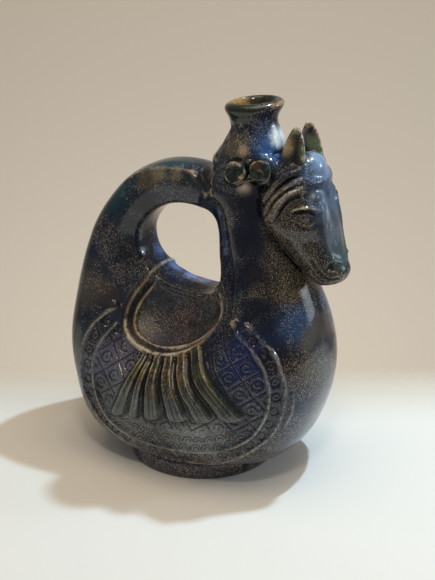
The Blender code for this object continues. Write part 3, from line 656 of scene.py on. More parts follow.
# Each line is a path, its height, its half width and how soon it dies away at its ends; grooves sink
FACE_LINES = tuple((lock, tall, 2.7, 11.0) for lock, tall in zip(LOCKS, (2.8, 3.0, 3.8)))
FACE_LINES += tuple((groove_path, -2.0, 0.9, 14.0) for groove_path in BETWEEN_LOCKS)
FACE_LINES += (
    (((80.0, 202.2), (84.5, 204.4), (90.0, 204.6), (95.2, 201.4)), 2.1, 1.0, 3.0),
    (((81.5, 200.6), (86.0, 201.8), (90.5, 201.6), (94.4, 198.8)), -1.8, 1.0, 2.0),
    (((82.6, 198.2), (86.0, 194.4), (90.4, 193.2), (94.0, 195.2)), 1.0, 0.9, 3.0),
    (((82.4, 196.0), (86.0, 191.6), (91.0, 190.8)), -1.0, 1.0, 3.0),
    (((94.5, 207.0), (98.0, 190.0), (102.0, 173.0), (106.0, 165.5)), 1.9, 2.6, 6.0),
    (((110.0, 156.4), (104.0, 155.2), (98.5, 157.6), (94.0, 162.5), (90.5, 168.0)), -1.5, 1.1, 3.0),
    (((109.0, 164.8), (105.5, 167.6), (101.8, 167.0), (100.4, 163.4)), 1.0, 1.3, 2.0),
    (((107.5, 153.2), (101.0, 151.2), (95.0, 153.6), (90.0, 159.0)), -0.8, 1.0, 2.0),
    (((62.0, 186.0), (67.0, 173.0), (76.0, 160.5), (84.0, 151.0)), -1.0, 1.4, 5.0),
)

# Each swell is a place (x, z), its height and its reach: brow, cheek, eye, beside the nose, nostril
FACE_SWELLS = (
    (87.5, 207.5, 2.4, 6.0),
    (71.0, 189.0, 2.6, 12.0),
    (88.4, 198.2, 1.7, 2.8),
    (92.6, 210.0, 1.6, 3.0),
    (92.0, 180.0, -3.0, 7.5),
    (105.4, 163.6, -2.6, 2.2),
    (102.8, 162.6, -1.8, 1.9),
)
NOSE_EDGE = ((158.0, 107.5), (165.5, 106.0), (173.0, 102.0), (190.0, 98.0), (207.0, 94.5), (213.0, 92.5))
face_lines = [(nearness(path), *sizes) for path, *sizes in FACE_LINES]

# The forelock's lower edge runs on from the flank to the middle of the brow
FORELOCK_EDGE = ((78.0, 213.6), (83.0, 217.4), (88.0, 219.2), (91.0, 219.2))
over_brow = [
    skin.ray_cast(Vector((300.0, -aside - 0.2, 219.0)) * PART, Vector((-1.0, 0.0, 0.0)))[0]
    for aside in range(10, -1, -1)
]
face_lines.append((nearness(FORELOCK_EDGE, over_brow), 1.5, 2.8, -0.5))
face_swells = [(on_flank(x, z), height, reach) for x, z, height, reach in FACE_SWELLS]


def face_height(point):
    """The height of the head's carving at a point."""
    off_head = head_skin.find_nearest(point)[3] / PART
    if off_head > 3.0:
        return 0.0
    height = 0.0
    for near, tall, reach, fade in face_lines:
        distance, _, from_end = near(point)
        height += tall * hump(distance, reach) * rise(from_end, -1.0, fade)
    height += sum(tall * hump((point - middle).length / PART, reach) for middle, tall, reach in face_swells)
    return height * (1.0 - rise(off_head, 1.0, 3.0))


# Medallions and bulb
# Two round medallions lie below the bulb like a pair of spectacles, the front one with a spiral in it.
# They are pressed on as discs. The bulb carries a fine crossed lattice, trailed in slip.
MEDALLIONS = ((39.5, 222.3), (57.3, 225.0))
medallion_middles = [on_flank(*place) for place in MEDALLIONS]
medallion_bridge = nearness(((44.0, 219.5), (48.5, 217.5), (53.0, 220.0)))
BULB_PITCH = 27.7
BULB_SLOPE = 2.9


def medallion_height(point):
    """The medallions, the grooves round them and what is cut in them."""
    height = 0.0
    for k, middle in enumerate(medallion_middles):
        offset = (point - middle) / PART
        distance = offset.length
        if distance > 12.0:
            continue
        plate = 1.0 - rise(distance, 6.6, 8.0)
        height += plate * (2.0 - 1.9 * hump(distance, 4.2)) - 1.4 * hump(distance - 9.0, 1.2)
        if k == 1 and distance < 6.6:
            turn = math.atan2(offset.z, offset.x) / (2 * math.pi)
            wound = (turn + distance / 5.2) % 1.0 - 0.5
            height += 1.1 * hump(wound * 5.2, 1.3) * rise(distance, 0.5, 2.0)
    height += 1.4 * hump(medallion_bridge(point)[0], 1.4)
    return height


def bulb_height(x, y, z):
    """The fine lattice that stands up on the bulb, and the groove at its base."""
    upright = z - x * MOUTH_TILT
    axis = along(MOUTH_AXIS, upright)[0]
    radius = math.hypot(x - axis, y)
    if radius > 27.0 or upright < 218.0 or upright > 254.0:
        return 0.0
    turn = math.degrees(math.atan2(y, x - axis))
    first = (turn + BULB_SLOPE * upright) % BULB_PITCH - BULB_PITCH / 2
    second = (turn - BULB_SLOPE * upright) % BULB_PITCH - BULB_PITCH / 2
    first, second = (math.radians(off_line) * radius / 1.45 for off_line in (first, second))
    lines = max(groove(first, LINE_REACH), groove(second, LINE_REACH))
    lines *= rise(upright, 232.0, 235.0) * (1.0 - rise(upright, 248.0, 252.0))
    return lines * (1.0 - rise(x, 44.0, 52.0)) - 2.6 * hump(upright - 226.8, 1.3)


# Handle
# The handle is the thin part of the ring. A cuff of clay is folded over its join with the neck, and a ridge
# runs along each side, with a pale painted highlight laid along it.
handle_ridge = nearness(((-58.0, 196.0), (-43.0, 207.0), (-24.0, 212.5), (-5.0, 213.6), (4.0, 212.0)))
handle_cuff = nearness(((24.6, 222.4), (21.0, 214.0), (22.5, 204.2)))
handle_fold = nearness(((2.0, 216.0), (7.0, 209.0), (14.0, 205.5), (20.5, 209.5)))

# Carving
# Everything above is carved into the leather-hard clay in one go, along the lie of its surface, and each
# place is marked with what it is, so that the glaze can break or pool there; some marks also carry painted
# shade and painted highlights.
MARKS = ("rim", "seat", "cord", "cloth", "fan", "crease", "stamp", "face", "nose", "disc")
STAMP_DEPTH = 0.55
LATTICE_RISE = 0.35
layers = {name: clay.verts.layers.float.new("is_" + name) for name in MARKS}
moves = []
for vert in clay.verts:
    point = vert.co
    x, y, z = point / PART
    height = 0.0
    if z < 145.0:
        on_side = rise(-y, 13.0, 19.0)
        height, in_seat, off_rim, rolls = rim_height(point, x, z, on_side)
        # The lower rim is marked stronger than the upper, for a painted highlight over the glaze's break
        vert[layers["rim"]] = rolls * (0.66 + 0.69 * (1.0 - rise(z, 92.0, 108.0)))
        vert[layers["seat"]] = on_side if in_seat else 0.0
        if not in_seat and on_side > 0:
            pleats, crease, fold, in_fan = fan_height(x, z)
            off_saddle = rise(off_rim, 0.0, 2.6)
            cord_line = 0.0
            for near, tall, reach in CORDS:
                distance, _, from_end = near(point)
                ridge = cord_height(distance, from_end, reach)
                cord_line = max(cord_line, cord_height(distance, from_end, 1.2))
                height += on_side * tall * ridge
            in_cloth = within(x, z, cloth_outline)
            in_field = within(x, z, field_outline)
            depth = 0.0
            if in_cloth and in_fan < 0.5:
                depth = stamped(x, z, point, in_field) * (1.0 - 2 * in_fan) * rise(off_rim, 3.0, 5.0)
                depth *= 1.0 - rise(cord_line, 0.05, 0.3)
            height += on_side * (pleats * off_saddle - STAMP_DEPTH * depth)
            vert[layers["cord"]] = cord_line
            vert[layers["cloth"]] = on_side if in_cloth else 0.0
            vert[layers["fan"]] = in_fan * off_saddle
            vert[layers["crease"]] = crease * off_saddle
            # The stamps' depth is marked together with the painted shade in the folds and under the hem
            vert[layers["stamp"]] = max(depth, fold * off_saddle)
        for middle, tall, reach in beads:
            height += tall * hump((point - middle).length / PART, reach)
    if x > 50.0 and z > 140.0:
        height += face_height(point)
        in_front = x - along(NOSE_EDGE, z)[0]
        vert[layers["nose"]] = rise(in_front, -8.0, 0.5) * rise(z, 154.0, 168.0)
        vert[layers["face"]] = rise(x, 52.0, 60.0) * (1.0 - rise(z, 212.0, 226.0))
    if z > 208.0 and x > 20.0:
        height += medallion_height(point)
        depth = bulb_height(x, y, z)
        height += LATTICE_RISE * depth
        vert[layers["cord"]] = max(1.2 * depth, vert[layers["cord"]])
        off_disc = min((point - middle).length / PART for middle in medallion_middles)
        vert[layers["disc"]] = 1.0 - rise(off_disc, 6.2, 7.4)
    if z > 190.0 and x < 30.0:
        distance, _, from_end = handle_ridge(point)
        height += 0.9 * hump(distance, 2.4) * rise(from_end, -1.0, 12.0)
        # The ridge takes the edge mark for a pale painted highlight along it
        vert[layers["cord"]] = 0.75 * hump(distance, 1.4) * rise(from_end, 2.0, 16.0)
        height += hump(handle_cuff(point)[0], 1.3) - 1.2 * hump(handle_fold(point)[0], 2.0)
    moves.append((vert, vert.normal * height * PART))
for vert, move in moves:
    vert.co += move

# Whole again
# The carved half is marked where it stands out or lies deep, for the glaze to break or to pool there,
# then thinned where it is smooth and closed with its mirror image.
HALF_TRIANGLES = 91000
FINE_PASSES = 6
BROAD_PASSES = 40


def standing_out(mesh, passes):
    """How far each point stands out of the surface smoothed round it, in millimetres."""
    count = len(mesh.vertices)
    places = np.empty(count * 3)
    mesh.vertices.foreach_get("co", places)
    places = places.reshape(-1, 3)
    normals = np.empty(count * 3)
    mesh.vertices.foreach_get("normal", normals)
    pairs = np.empty(len(mesh.edges) * 2, dtype=np.int64)
    mesh.edges.foreach_get("vertices", pairs)
    first, second = pairs.reshape(-1, 2).T
    links = np.bincount(np.concatenate((first, second)), minlength=count).astype(float)
    smooth = places.copy()
    for _ in range(passes):
        around = np.empty_like(smooth)
        for axis in range(3):
            around[:, axis] = np.bincount(first, smooth[second, axis], count)
            around[:, axis] += np.bincount(second, smooth[first, axis], count)
        smooth = (smooth + around / links[:, None]) / 2
    return ((places - smooth) * normals.reshape(-1, 3)).sum(axis=1) / PART


half = new_object("half", clay)
for name, passes in (("fine_edge", FINE_PASSES), ("broad_edge", BROAD_PASSES)):
    mark = half.data.attributes.new(name, "FLOAT", "POINT")
    mark.data.foreach_set("value", standing_out(half.data, passes).astype(np.float32))
fewer = half.modifiers.new("fewer faces", "DECIMATE")
fewer.ratio = HALF_TRIANGLES / sum(len(face.vertices) - 2 for face in half.data.polygons)
clay = settled(half)
for vert in clay.verts:
    if any(edge.is_boundary for edge in vert.link_edges):
        vert.co.y = 0.0
flat = [face for face in clay.faces if all(vert.co.y == 0.0 for vert in face.verts)]
bmesh.ops.delete(clay, geom=flat, context="FACES")
everything = list(clay.verts) + list(clay.edges) + list(clay.faces)
bmesh.ops.mirror(clay, geom=everything, axis="Y", merge_dist=PART / 100)
bmesh.ops.recalc_face_normals(clay, faces=clay.faces)
ewer = new_object("ewer_glazed", clay)

# Foot and hollow
# A low foot ring with a shallow recess is turned under the belly; the vessel is hollow throughout, its
# wall about 5.5 mm, and the bore runs down through the lip and the bulb into the neck.


def fused(target, tool, operation):
    """Adds a Boolean of one object with another, which is not shown."""
    modifier = target.modifiers.new(tool.name, "BOOLEAN")
    modifier.operation = operation
    modifier.solver = "EXACT"
    modifier.object = tool


foot_profile = (
    (48.0, 17.5), (52.5, 12.0), (53.5, 10.0), (53.5, 1.0), (52.5, 0.0), (44.5, 0.0), (43.5, 4.0),
)
bore_profile = [(15.8, 269.8), (15.2, 265.6), (13.4, 264.2), (12.4, 261.6)]
bore_profile += [(max(radius - WALL, 10.0), height) for radius, height in MOUTH_PROFILE[1:] if height > 230.0]
bore_profile.append((bore_profile[-1][0], 206.0))
bore = turned_form(bore_profile, 64)
lean_mouth(bore)
tools = (
    (new_object("foot", turned_form(foot_profile, 96)), "UNION"),
    (new_object("ring_hollow", ring_form(64, 6, 10, WALL)), "DIFFERENCE"),
    (new_object("head_hollow", head_form(12, 16, 11.0)), "DIFFERENCE"),
    (new_object("bore", bore), "DIFFERENCE"),
)
for tool, operation in tools:
    fused(ewer, tool, operation)
body = settled(ewer)
for tool, _ in tools:
    bpy.data.objects.remove(tool, do_unlink=True)
bmesh.ops.remove_doubles(body, verts=body.verts, dist=PART / 100)
bmesh.ops.triangulate(body, faces=body.faces)
reach = [vert.co.x for vert in body.verts]
middle_x = (cad_low.x + cad_high.x) / 2 - (min(reach) + max(reach)) / 2
bmesh.ops.translate(body, verts=body.verts, vec=(middle_x, 0.0, 0.0))
ewer = new_object("ewer_glazed", body)
ewer.data.shade_smooth()

# Glaze
# A dark stoneware glaze: nearly black navy where it is thick, breaking to gold and cream on every edge,
# cobalt and teal where it ran, and peppered with fine golden crystals. It is fired to a hard gloss.


class Shade:
    """A value that runs through a material's nodes; sums on it add Math nodes, which hold one number."""

    def __init__(self, tree, socket=None):
        self.tree = tree
        self.socket = socket

    def node(self, kind, settings=None, sockets=None, outlet=0):
        """Any other node: its type, its settings, then the values or links of its sockets."""
        made = self.tree.nodes.new(kind)
        for name, value in (settings or {}).items():
            setattr(made, name, value)
        for name, value in (sockets or {}).items():
            if isinstance(value, Shade):
                self.tree.links.new(value.socket, made.inputs[name])
            else:
                made.inputs[name].default_value = value
        return Shade(self.tree, made.outputs[outlet])

    def outlet(self, name):
        """Another outlet of the node that this value comes from."""
        return Shade(self.tree, self.socket.node.outputs[name])

    def math(self, operation, *values):
        """A sum on single numbers."""
        return self.node("ShaderNodeMath", {"operation": operation}, dict(enumerate(values)))

    def vector(self, operation, *values, outlet="Vector"):
        """A sum on this value as three numbers, which also serves for colours."""
        sockets = dict(enumerate((self, *values)))
        return self.node("ShaderNodeVectorMath", {"operation": operation}, sockets, outlet)

    def __add__(self, other):
        return self.math("ADD", self, other)

    __radd__ = __add__

    def __sub__(self, other):
        return self.math("SUBTRACT", self, other)

    def __rsub__(self, other):
        return self.math("SUBTRACT", other, self)

    def __mul__(self, other):
        return self.math("MULTIPLY", self, other)

    __rmul__ = __mul__

    def rise(self, low, high):
        """A smooth rise from 0 at low to 1 at high."""
        return self.node("ShaderNodeMapRange", {"interpolation_type": "SMOOTHSTEP"}, {
            "Value": self, "From Min": low, "From Max": high,
        })

    def mark(self, name):
        """A value that the carving left on the surface."""
        return self.node("ShaderNodeAttribute", {"attribute_name": name}, outlet="Fac")

    def noise(self, where, scale, detail=2.0, roughness=0.5):
        """Soft cloudy noise; scale is in clouds to the metre."""
        return self.node("ShaderNodeTexNoise", None, {
            "Vector": where, "Scale": scale, "Detail": detail, "Roughness": roughness,
        })

    def over(self, share, below, above):
        """A colour laid over another by a share."""
        settings = {"data_type": "RGBA", "clamp_factor": True}
        return self.node("ShaderNodeMix", settings, {0: share, 6: below, 7: above}, 2)


glaze = bpy.data.materials.new("speckled_night_glaze")
glaze.use_nodes = True
tree = glaze.node_tree
shader = tree.nodes["Principled BSDF"]
pen = Shade(tree)
where = pen.node("ShaderNodeTexCoord", outlet="Object")
z_in = pen.node("ShaderNodeSeparateXYZ", None, {0: where}, "Z")
x_in, y_in = z_in.outlet("X"), z_in.outlet("Y")
mirrored = pen.node("ShaderNodeCombineXYZ", None, {"X": x_in, "Y": pen.math("ABSOLUTE", y_in), "Z": z_in})

# The glaze's own colours where it is thick and where it breaks, and the rust and haze that lie on it
NAVY = (0.004, 0.012, 0.042, 1.0)
INK = (0.0015, 0.002, 0.0035, 1.0)
SLATE = (0.020, 0.028, 0.044, 1.0)
BROWN = (0.024, 0.016, 0.010, 1.0)
GOLD = (0.55, 0.34, 0.14, 1.0)
CREAM = (0.90, 0.79, 0.60, 1.0)
OCHRE = (0.55, 0.26, 0.06, 1.0)
HAZE = (0.42, 0.45, 0.46, 1.0)

clouds = pen.noise(where, 26.0, 3.0, 0.6)
colour = pen.over(clouds.rise(0.46, 0.66), NAVY, SLATE)
colour = pen.over(pen.noise(where, 38.0, 3.0, 0.6).rise(0.50, 0.70) * 0.5, colour, BROWN)
streaks = pen.noise(where, 75.0, 4.0, 0.65)

# Washes of colour that ran in the fire, with painted light among them where their rows say so, the same on
# both flanks: middle (x, aside, z) and reach in millimetres, share, colour
WASHES_AND_PAINTED_LIGHT = (
    ((57.0, 12.0, 240.0), 17.0, 0.95, (0.030, 0.105, 0.30)),
    # Painted highlight: a near-white patch on the bulb's upper right
    ((60.0, 4.0, 244.0), 9.0, 0.95, (0.86, 0.93, 0.95)),
    ((36.0, 18.0, 238.0), 13.0, 0.9, (0.104, 0.096, 0.068)),
    ((40.0, 10.0, 264.0), 14.0, 0.95, (0.020, 0.028, 0.014)),
    ((28.0, 4.0, 261.0), 8.0, 0.95, (0.30, 0.16, 0.04)),
    # Blue glaze on the forelock, made paler to paint in its highlight
    ((87.0, 3.0, 228.0), 14.0, 0.95, (0.22, 0.34, 0.56)),
    ((96.0, 8.0, 206.0), 17.0, 0.95, (0.085, 0.132, 0.212)),
    ((103.0, 5.0, 186.0), 18.0, 0.95, (0.095, 0.12, 0.155)),
    ((107.0, 5.0, 169.0), 13.0, 0.95, (0.055, 0.090, 0.10)),
    ((86.0, 22.5, 206.0), 5.0, 0.8, (0.010, 0.030, 0.040)),
    ((106.0, 9.0, 154.0), 9.0, 0.7, (0.045, 0.045, 0.028)),
    ((72.0, 15.0, 241.0), 9.0, 1.0, (0.34, 0.27, 0.13)),
    ((76.0, 11.5, 252.5), 4.5, 1.0, (0.30, 0.34, 0.20)),
    ((77.7, 7.0, 240.0), 6.0, 1.0, (0.26, 0.29, 0.19)),
    ((80.5, 23.6, 209.8), 4.5, 0.9, (0.22, 0.16, 0.09)),
    # Painted highlights: a pale glint on the brow, then an orange glint by the eye
    ((91.3, 15.1, 211.9), 2.4, 0.7, (0.36, 0.37, 0.34)),
    ((87.5, 22.5, 205.5), 2.4, 0.9, (0.35, 0.14, 0.04)),
    # Painted highlight: a pinkish cream glint low on the bulb
    ((42.8, 20.8, 236.0), 5.0, 0.95, (0.38, 0.28, 0.20)),
    ((84.0, 11.0, 238.0), 9.0, 1.0, (0.13, 0.18, 0.10)),
    ((49.8, 47.0, 124.5), 4.0, 1.0, (0.336, 0.248, 0.176)),
    ((40.7, 26.0, 222.5), 8.0, 0.95, (0.010, 0.018, 0.012)),
    ((58.6, 25.0, 226.0), 9.0, 0.95, (0.012, 0.030, 0.030)),
    ((54.5, 25.0, 230.0), 5.5, 0.9, (0.42, 0.20, 0.05)),
    ((62.5, 24.5, 228.0), 3.5, 0.9, (0.02, 0.09, 0.16)),
    # Painted reflection: a cream patch on the neck below the medallions
    ((46.5, 26.5, 214.0), 7.0, 1.0, (0.52, 0.44, 0.36)),
    ((31.0, 27.0, 198.0), 18.0, 0.8, (0.030, 0.031, 0.045)),
    ((34.0, 25.0, 172.0), 20.0, 0.8, (0.021, 0.024, 0.040)),
    ((80.0, 16.0, 146.0), 22.0, 0.7, (0.036, 0.024, 0.013)),
    # A cobalt wash on the chest, made brighter to paint in the window's blue reflection
    ((88.0, 22.0, 122.0), 18.0, 0.95, (0.022, 0.066, 0.17)),
    ((84.0, 30.0, 98.0), 18.0, 0.7, (0.016, 0.010, 0.006)),
    ((96.0, 16.0, 92.0), 16.0, 0.7, (0.060, 0.058, 0.056)),
    # Painted reflections: two pale zones on the right of the chest
    ((95.0, 6.0, 114.0), 15.0, 0.8, (0.11, 0.092, 0.076)),
    ((93.3, 17.0, 111.0), 12.0, 0.8, (0.11, 0.105, 0.09)),
    ((92.0, 16.0, 50.0), 26.0, 0.8, (0.060, 0.075, 0.12)),
    ((-28.0, 6.0, 218.0), 26.0, 0.95, (0.010, 0.045, 0.066)),
    ((-33.0, 17.0, 205.0), 12.0, 0.6, (0.13, 0.09, 0.042)),
    # Painted highlight: cream along the handle's ridge
    ((-25.0, 15.6, 210.4), 8.0, 0.9, (0.27, 0.22, 0.14)),
    ((-12.0, 15.5, 211.0), 7.0, 0.8, (0.23, 0.185, 0.125)),
    ((-66.0, 12.0, 190.0), 24.0, 0.85, (0.014, 0.062, 0.076)),
    ((-86.0, 32.0, 122.0), 24.0, 0.9, (0.020, 0.078, 0.092)),
    ((-68.0, 42.0, 126.0), 22.0, 0.75, (0.066, 0.058, 0.047)),
    ((-82.0, 44.0, 88.0), 20.0, 0.8, (0.055, 0.085, 0.085)),
    ((-56.0, 38.0, 116.0), 12.0, 0.45, (0.060, 0.042, 0.036)),
    ((-45.0, 54.0, 78.0), 26.0, 0.9, (0.115, 0.12, 0.19)),
    ((60.0, 51.0, 100.0), 26.0, 0.95, (0.006, 0.020, 0.11)),
    ((66.0, 51.0, 76.0), 18.0, 0.8, (0.022, 0.030, 0.070)),
    ((30.0, 59.0, 40.0), 32.0, 0.85, (0.19, 0.22, 0.245)),
    ((-30.0, 58.0, 40.0), 32.0, 0.85, (0.14, 0.16, 0.17)),
    ((-4.0, 24.0, 104.0), 20.0, 0.9, (0.021, 0.014, 0.024)),
    ((-34.0, 30.0, 106.0), 13.0, 0.9, (0.013, 0.020, 0.011)),
    ((22.0, 26.0, 112.0), 11.0, 0.8, (0.014, 0.022, 0.014)),
)

# Painted reflections that lie on one side only: blue on the far half of the loop's floor
FAR_PAINTED_REFLECTIONS = (
    ((-16.0, 9.0, 128.5), 8.0, 0.95, (0.11, 0.19, 0.44)),
    ((-4.0, 9.0, 126.5), 8.0, 0.9, (0.10, 0.13, 0.30)),
    ((-27.0, 9.0, 133.5), 8.0, 0.95, (0.11, 0.19, 0.38)),
    ((-37.0, 9.0, 146.0), 9.0, 0.9, (0.08, 0.13, 0.32)),
)

# How ragged a wash is, and where its full strength ends and it is gone, in shares of its reach
RAGGED = 1.4
WASH_FULL = 0.2
WASH_GONE = 1.1


def with_washes_and_painted_light(colour, rows, spot):
    """The colour with washes laid over it, painted highlights, reflections and shade among them, their edges
    broken by the drift of the glaze.
    """
    for middle, reach_mm, share, wash in rows:
        reach = reach_mm * PART
        place = (middle[0] * PART + middle_x, middle[1] * PART, middle[2] * PART)
        distance = spot.vector("DISTANCE", place, outlet="Value")
        distance = distance + (clouds + streaks - 1) * (reach * RAGGED)
        near_middle = 1 - distance.rise(reach * WASH_FULL, reach * WASH_GONE)
        colour = pen.over(near_middle * share, colour, (*wash, 1.0))
    return colour


colour = with_washes_and_painted_light(colour, WASHES_AND_PAINTED_LIGHT, mirrored)
colour = with_washes_and_painted_light(colour, FAR_PAINTED_REFLECTIONS, where)

# The cheeks are dull brown under their crystals, and the nose keeps its blue
CHEEK_BROWN = (0.024, 0.021, 0.014, 1.0)
face = pen.mark("is_face")
nose = pen.mark("is_nose")
colour = pen.over(face * (1 - nose) * 0.75, colour, CHEEK_BROWN)

# The pleats: teal and olive drawn down the folds, paler on the hem, dark on the flanks, rust in the middle
TEAL = (0.018, 0.036, 0.050, 1.0)
OLIVE = (0.085, 0.105, 0.045, 1.0)
PALE_HEM = (0.125, 0.155, 0.165, 1.0)
RUST_MIDDLE = (0.002 + middle_x, 0.058, 0.082)
fan = pen.mark("is_fan")
fine = pen.mark("fine_edge")
drawn_down = where.vector("MULTIPLY", (1.0, 1.0, 0.14))
pleat_colour = pen.over(pen.noise(drawn_down, 130.0).rise(0.40, 0.62), TEAL, OLIVE)
pleat_colour = pen.over((1 - z_in.rise(0.054, 0.082)) * 0.8, pleat_colour, PALE_HEM)
# The pleats' hollows are darker, partly as glaze that pools there and partly as painted shade
pleat_colour = pen.over(fine.rise(-0.06, 0.16), pen.over(0.68, pleat_colour, INK), pleat_colour)
colour = pen.over(fan * 0.9, colour, pleat_colour)
off_rust = mirrored.vector("DISTANCE", RUST_MIDDLE, outlet="Value")
rust = fan * (1 - off_rust.rise(0.008, 0.030)) * pen.noise(drawn_down, 640.0, 4.0, 0.7).rise(0.48, 0.70)
colour = pen.over(rust * 0.55, colour, OCHRE)

# The medallions keep a clear dark green with teal pools
DARK_GREEN = (0.008, 0.016, 0.012, 1.0)
TEAL_POOL = (0.03, 0.06, 0.06, 1.0)
disc = pen.mark("is_disc")
disc_colour = pen.over(pen.noise(where, 200.0).rise(0.5, 0.62), DARK_GREEN, TEAL_POOL)
colour = pen.over(disc * 0.8, colour, disc_colour)

# Crystals: three sizes of fine dots, in drifts, paler than the glaze they float in. Each row is how many
# to the metre, the dot's size as a share of its cell, and its strength.
CRYSTALS = ((1800.0, 0.36, 0.8), (1250.0, 0.32, 1.0), (850.0, 0.21, 1.0))
WANDER = 0.003
hollow = 1 - pen.mark("broad_edge").rise(-1.1, -0.05)
seat = pen.mark("is_seat")
cloth = pen.mark("is_cloth")
drifts = pen.noise(where, 40.0, 4.0, 0.65).rise(0.32, 0.62)
near_foot = 1 - z_in.rise(0.016, 0.034)
low = 1 - z_in.rise(0.040, 0.056)
crowded = face * (1 - nose) * 0.55 + seat * 0.22 + near_foot * 0.5 + low * 0.3 + drifts * 0.75
density = pen.math("MINIMUM", crowded, 1.0) * (1 - hollow * 0.8) * (1 - cloth * 0.35)
density = density * (1 - nose * 0.6) * (1 - disc * 0.8)
paler = colour.vector("MULTIPLY_ADD", (4.0, 4.0, 4.0), (0.10, 0.085, 0.06))
wander = pen.noise(where, 200.0).outlet("Color")
adrift = wander.vector("MULTIPLY_ADD", (WANDER, WANDER, WANDER), where)
dots = None
for scale, size, strength in CRYSTALS:
    cells = pen.node("ShaderNodeTexVoronoi", None, {"Vector": adrift, "Scale": scale}, "Distance")
    chance = pen.node("ShaderNodeSeparateColor", None, {0: cells.outlet("Color")})
    dot = (1 - cells.rise(size * 0.6, size)) * (chance - (1 - density) * 0.9).rise(0.12, 0.5)
    tint = pen.over(0.3, pen.over(chance.rise(0.3, 0.9), GOLD, CREAM), paler)
    colour = pen.over(dot * strength, colour, tint)
    dots = dot if dots is None else dots + dot

# Where the glaze lies thickest it swallows the crystals; the rows noted below are painted shade instead
THICK_GLAZE_AND_PAINTED_SHADE = (
    ((47.0, 27.0, 200.0), 16.0, 0.92, (0.001, 0.003, 0.014)),
    ((48.5, 28.0, 178.0), 19.0, 0.92, (0.001, 0.004, 0.020)),
    ((54.0, 31.0, 154.0), 17.0, 0.9, (0.001, 0.004, 0.018)),
    ((60.0, 36.0, 132.0), 15.0, 0.8, (0.002, 0.004, 0.014)),
    ((-24.0, 2.0, 217.0), 20.0, 0.85, (0.008, 0.036, 0.050)),
    ((4.0, 2.0, 217.0), 14.0, 0.8, (0.006, 0.020, 0.034)),
    ((40.0, 14.0, 263.0), 12.0, 0.75, (0.016, 0.024, 0.012)),
    ((77.0, 12.6, 244.0), 4.5, 0.8, (0.050, 0.044, 0.014)),
    # Painted shade where the handle's cuff turns in against the neck
    ((9.0, 14.0, 212.0), 9.0, 0.9, (0.006, 0.005, 0.004)),
    ((-36.0, 14.0, 184.0), 12.0, 0.8, (0.001, 0.002, 0.003)),
    ((-46.0, 18.0, 168.0), 13.0, 0.8, (0.001, 0.002, 0.004)),
    ((-50.0, 24.0, 148.0), 13.0, 0.8, (0.001, 0.003, 0.012)),
    # Painted shade in the hollow of the ear
    ((77.8, 15.4, 232.5), 7.0, 0.95, (0.002, 0.003, 0.002)),
    ((78.5, 15.0, 239.0), 4.5, 0.9, (0.003, 0.005, 0.004)),
    ((76.5, 42.8, 103.2), 11.0, 0.8, (0.001, 0.003, 0.008)),
)
colour = with_washes_and_painted_light(colour, THICK_GLAZE_AND_PAINTED_SHADE, mirrored)

# The glaze runs thin over every edge and breaks to gold and cream, and pools dark in what is cut; some of
# these marks also lay on painted shade and painted highlights.
RIM_HIGHLIGHT_CREAM = (0.74, 0.68, 0.58, 1.0)
# The stamps pool dark; the same mark lays painted shade in the pleats' folds and under their hem
stamp = pen.mark("is_stamp")
colour = pen.over(stamp * (fan * 0.22 + 0.7), colour, INK)
colour = pen.over(hollow * 0.85, colour, INK)
broken = pen.noise(where, 300.0, 4.0, 0.7) + (pen.noise(where, 32.0, 2.0) - 0.5) * 0.5
covered = (1 - cloth * (1 - fan) * 0.6) * (1 - fan * 0.65) * (1 - face * 0.3)
worn = fine.rise(0.05, 0.34) * broken.rise(0.38, 0.58) * covered
rim = pen.mark("is_rim")
cord = pen.mark("is_cord")
line = rim.rise(0.25, 1.0) + cord.rise(0.25, 1.0) * 0.6
# On the lower rim the line is less broken, for the same painted highlight
line = line * (broken + rim.rise(1.0, 1.35) * 0.12).rise(0.36, 0.60)
line = pen.math("MAXIMUM", line, fan * pen.mark("is_crease").rise(0.25, 0.85) * broken.rise(0.34, 0.52))
edge_colour = pen.over(pen.noise(where, 50.0).rise(0.4, 0.62), GOLD, CREAM)
# A cream painted highlight on the lower rim, over the glaze's break
edge_colour = pen.over(rim.rise(0.9, 1.2) * 0.8, edge_colour, RIM_HIGHLIGHT_CREAM)
edge_colour = pen.over(cord * (1 - rim) * 0.6, edge_colour, HAZE)
colour = pen.over(pen.math("MAXIMUM", worn * 0.7, line * 0.8), colour, edge_colour)

# Bare clay under the foot ring, wiped clean so that it does not stick to the kiln shelf
BARE_CLAY = (0.12, 0.075, 0.045, 1.0)
bare = 1 - z_in.rise(0.0006, 0.0012)
colour = pen.over(bare, colour, BARE_CLAY)

# The surface ripples softly, every crystal stands a little proud, and the seat and the pleats are duller
ripple = pen.noise(where, 420.0, 2.0) * 0.25 + pen.noise(where, 70.0, 2.0) + dots * 0.018
uneven = pen.node("ShaderNodeBump", None, {"Strength": 0.3, "Distance": 0.0006, "Height": ripple})
matt = pen.noise(where, 130.0, 3.0).rise(0.3, 0.75) * 0.08
matt = matt + bare * 0.5 + seat * 0.28 + fan * 0.14 + 0.09
tree.links.new(colour.socket, shader.inputs["Base Color"])
tree.links.new(matt.socket, shader.inputs["Roughness"])
tree.links.new(uneven.socket, shader.inputs["Normal"])
shader.inputs["IOR"].default_value = 1.52
ewer.data.materials.append(glaze)
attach(ewer, "root")
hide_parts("ewer")

# Table and backdrop
# A white table top ends close behind the vessel, with a warm grey paper wall well behind it. Both fade
# out at their far edge, and neither is part of the vessel.


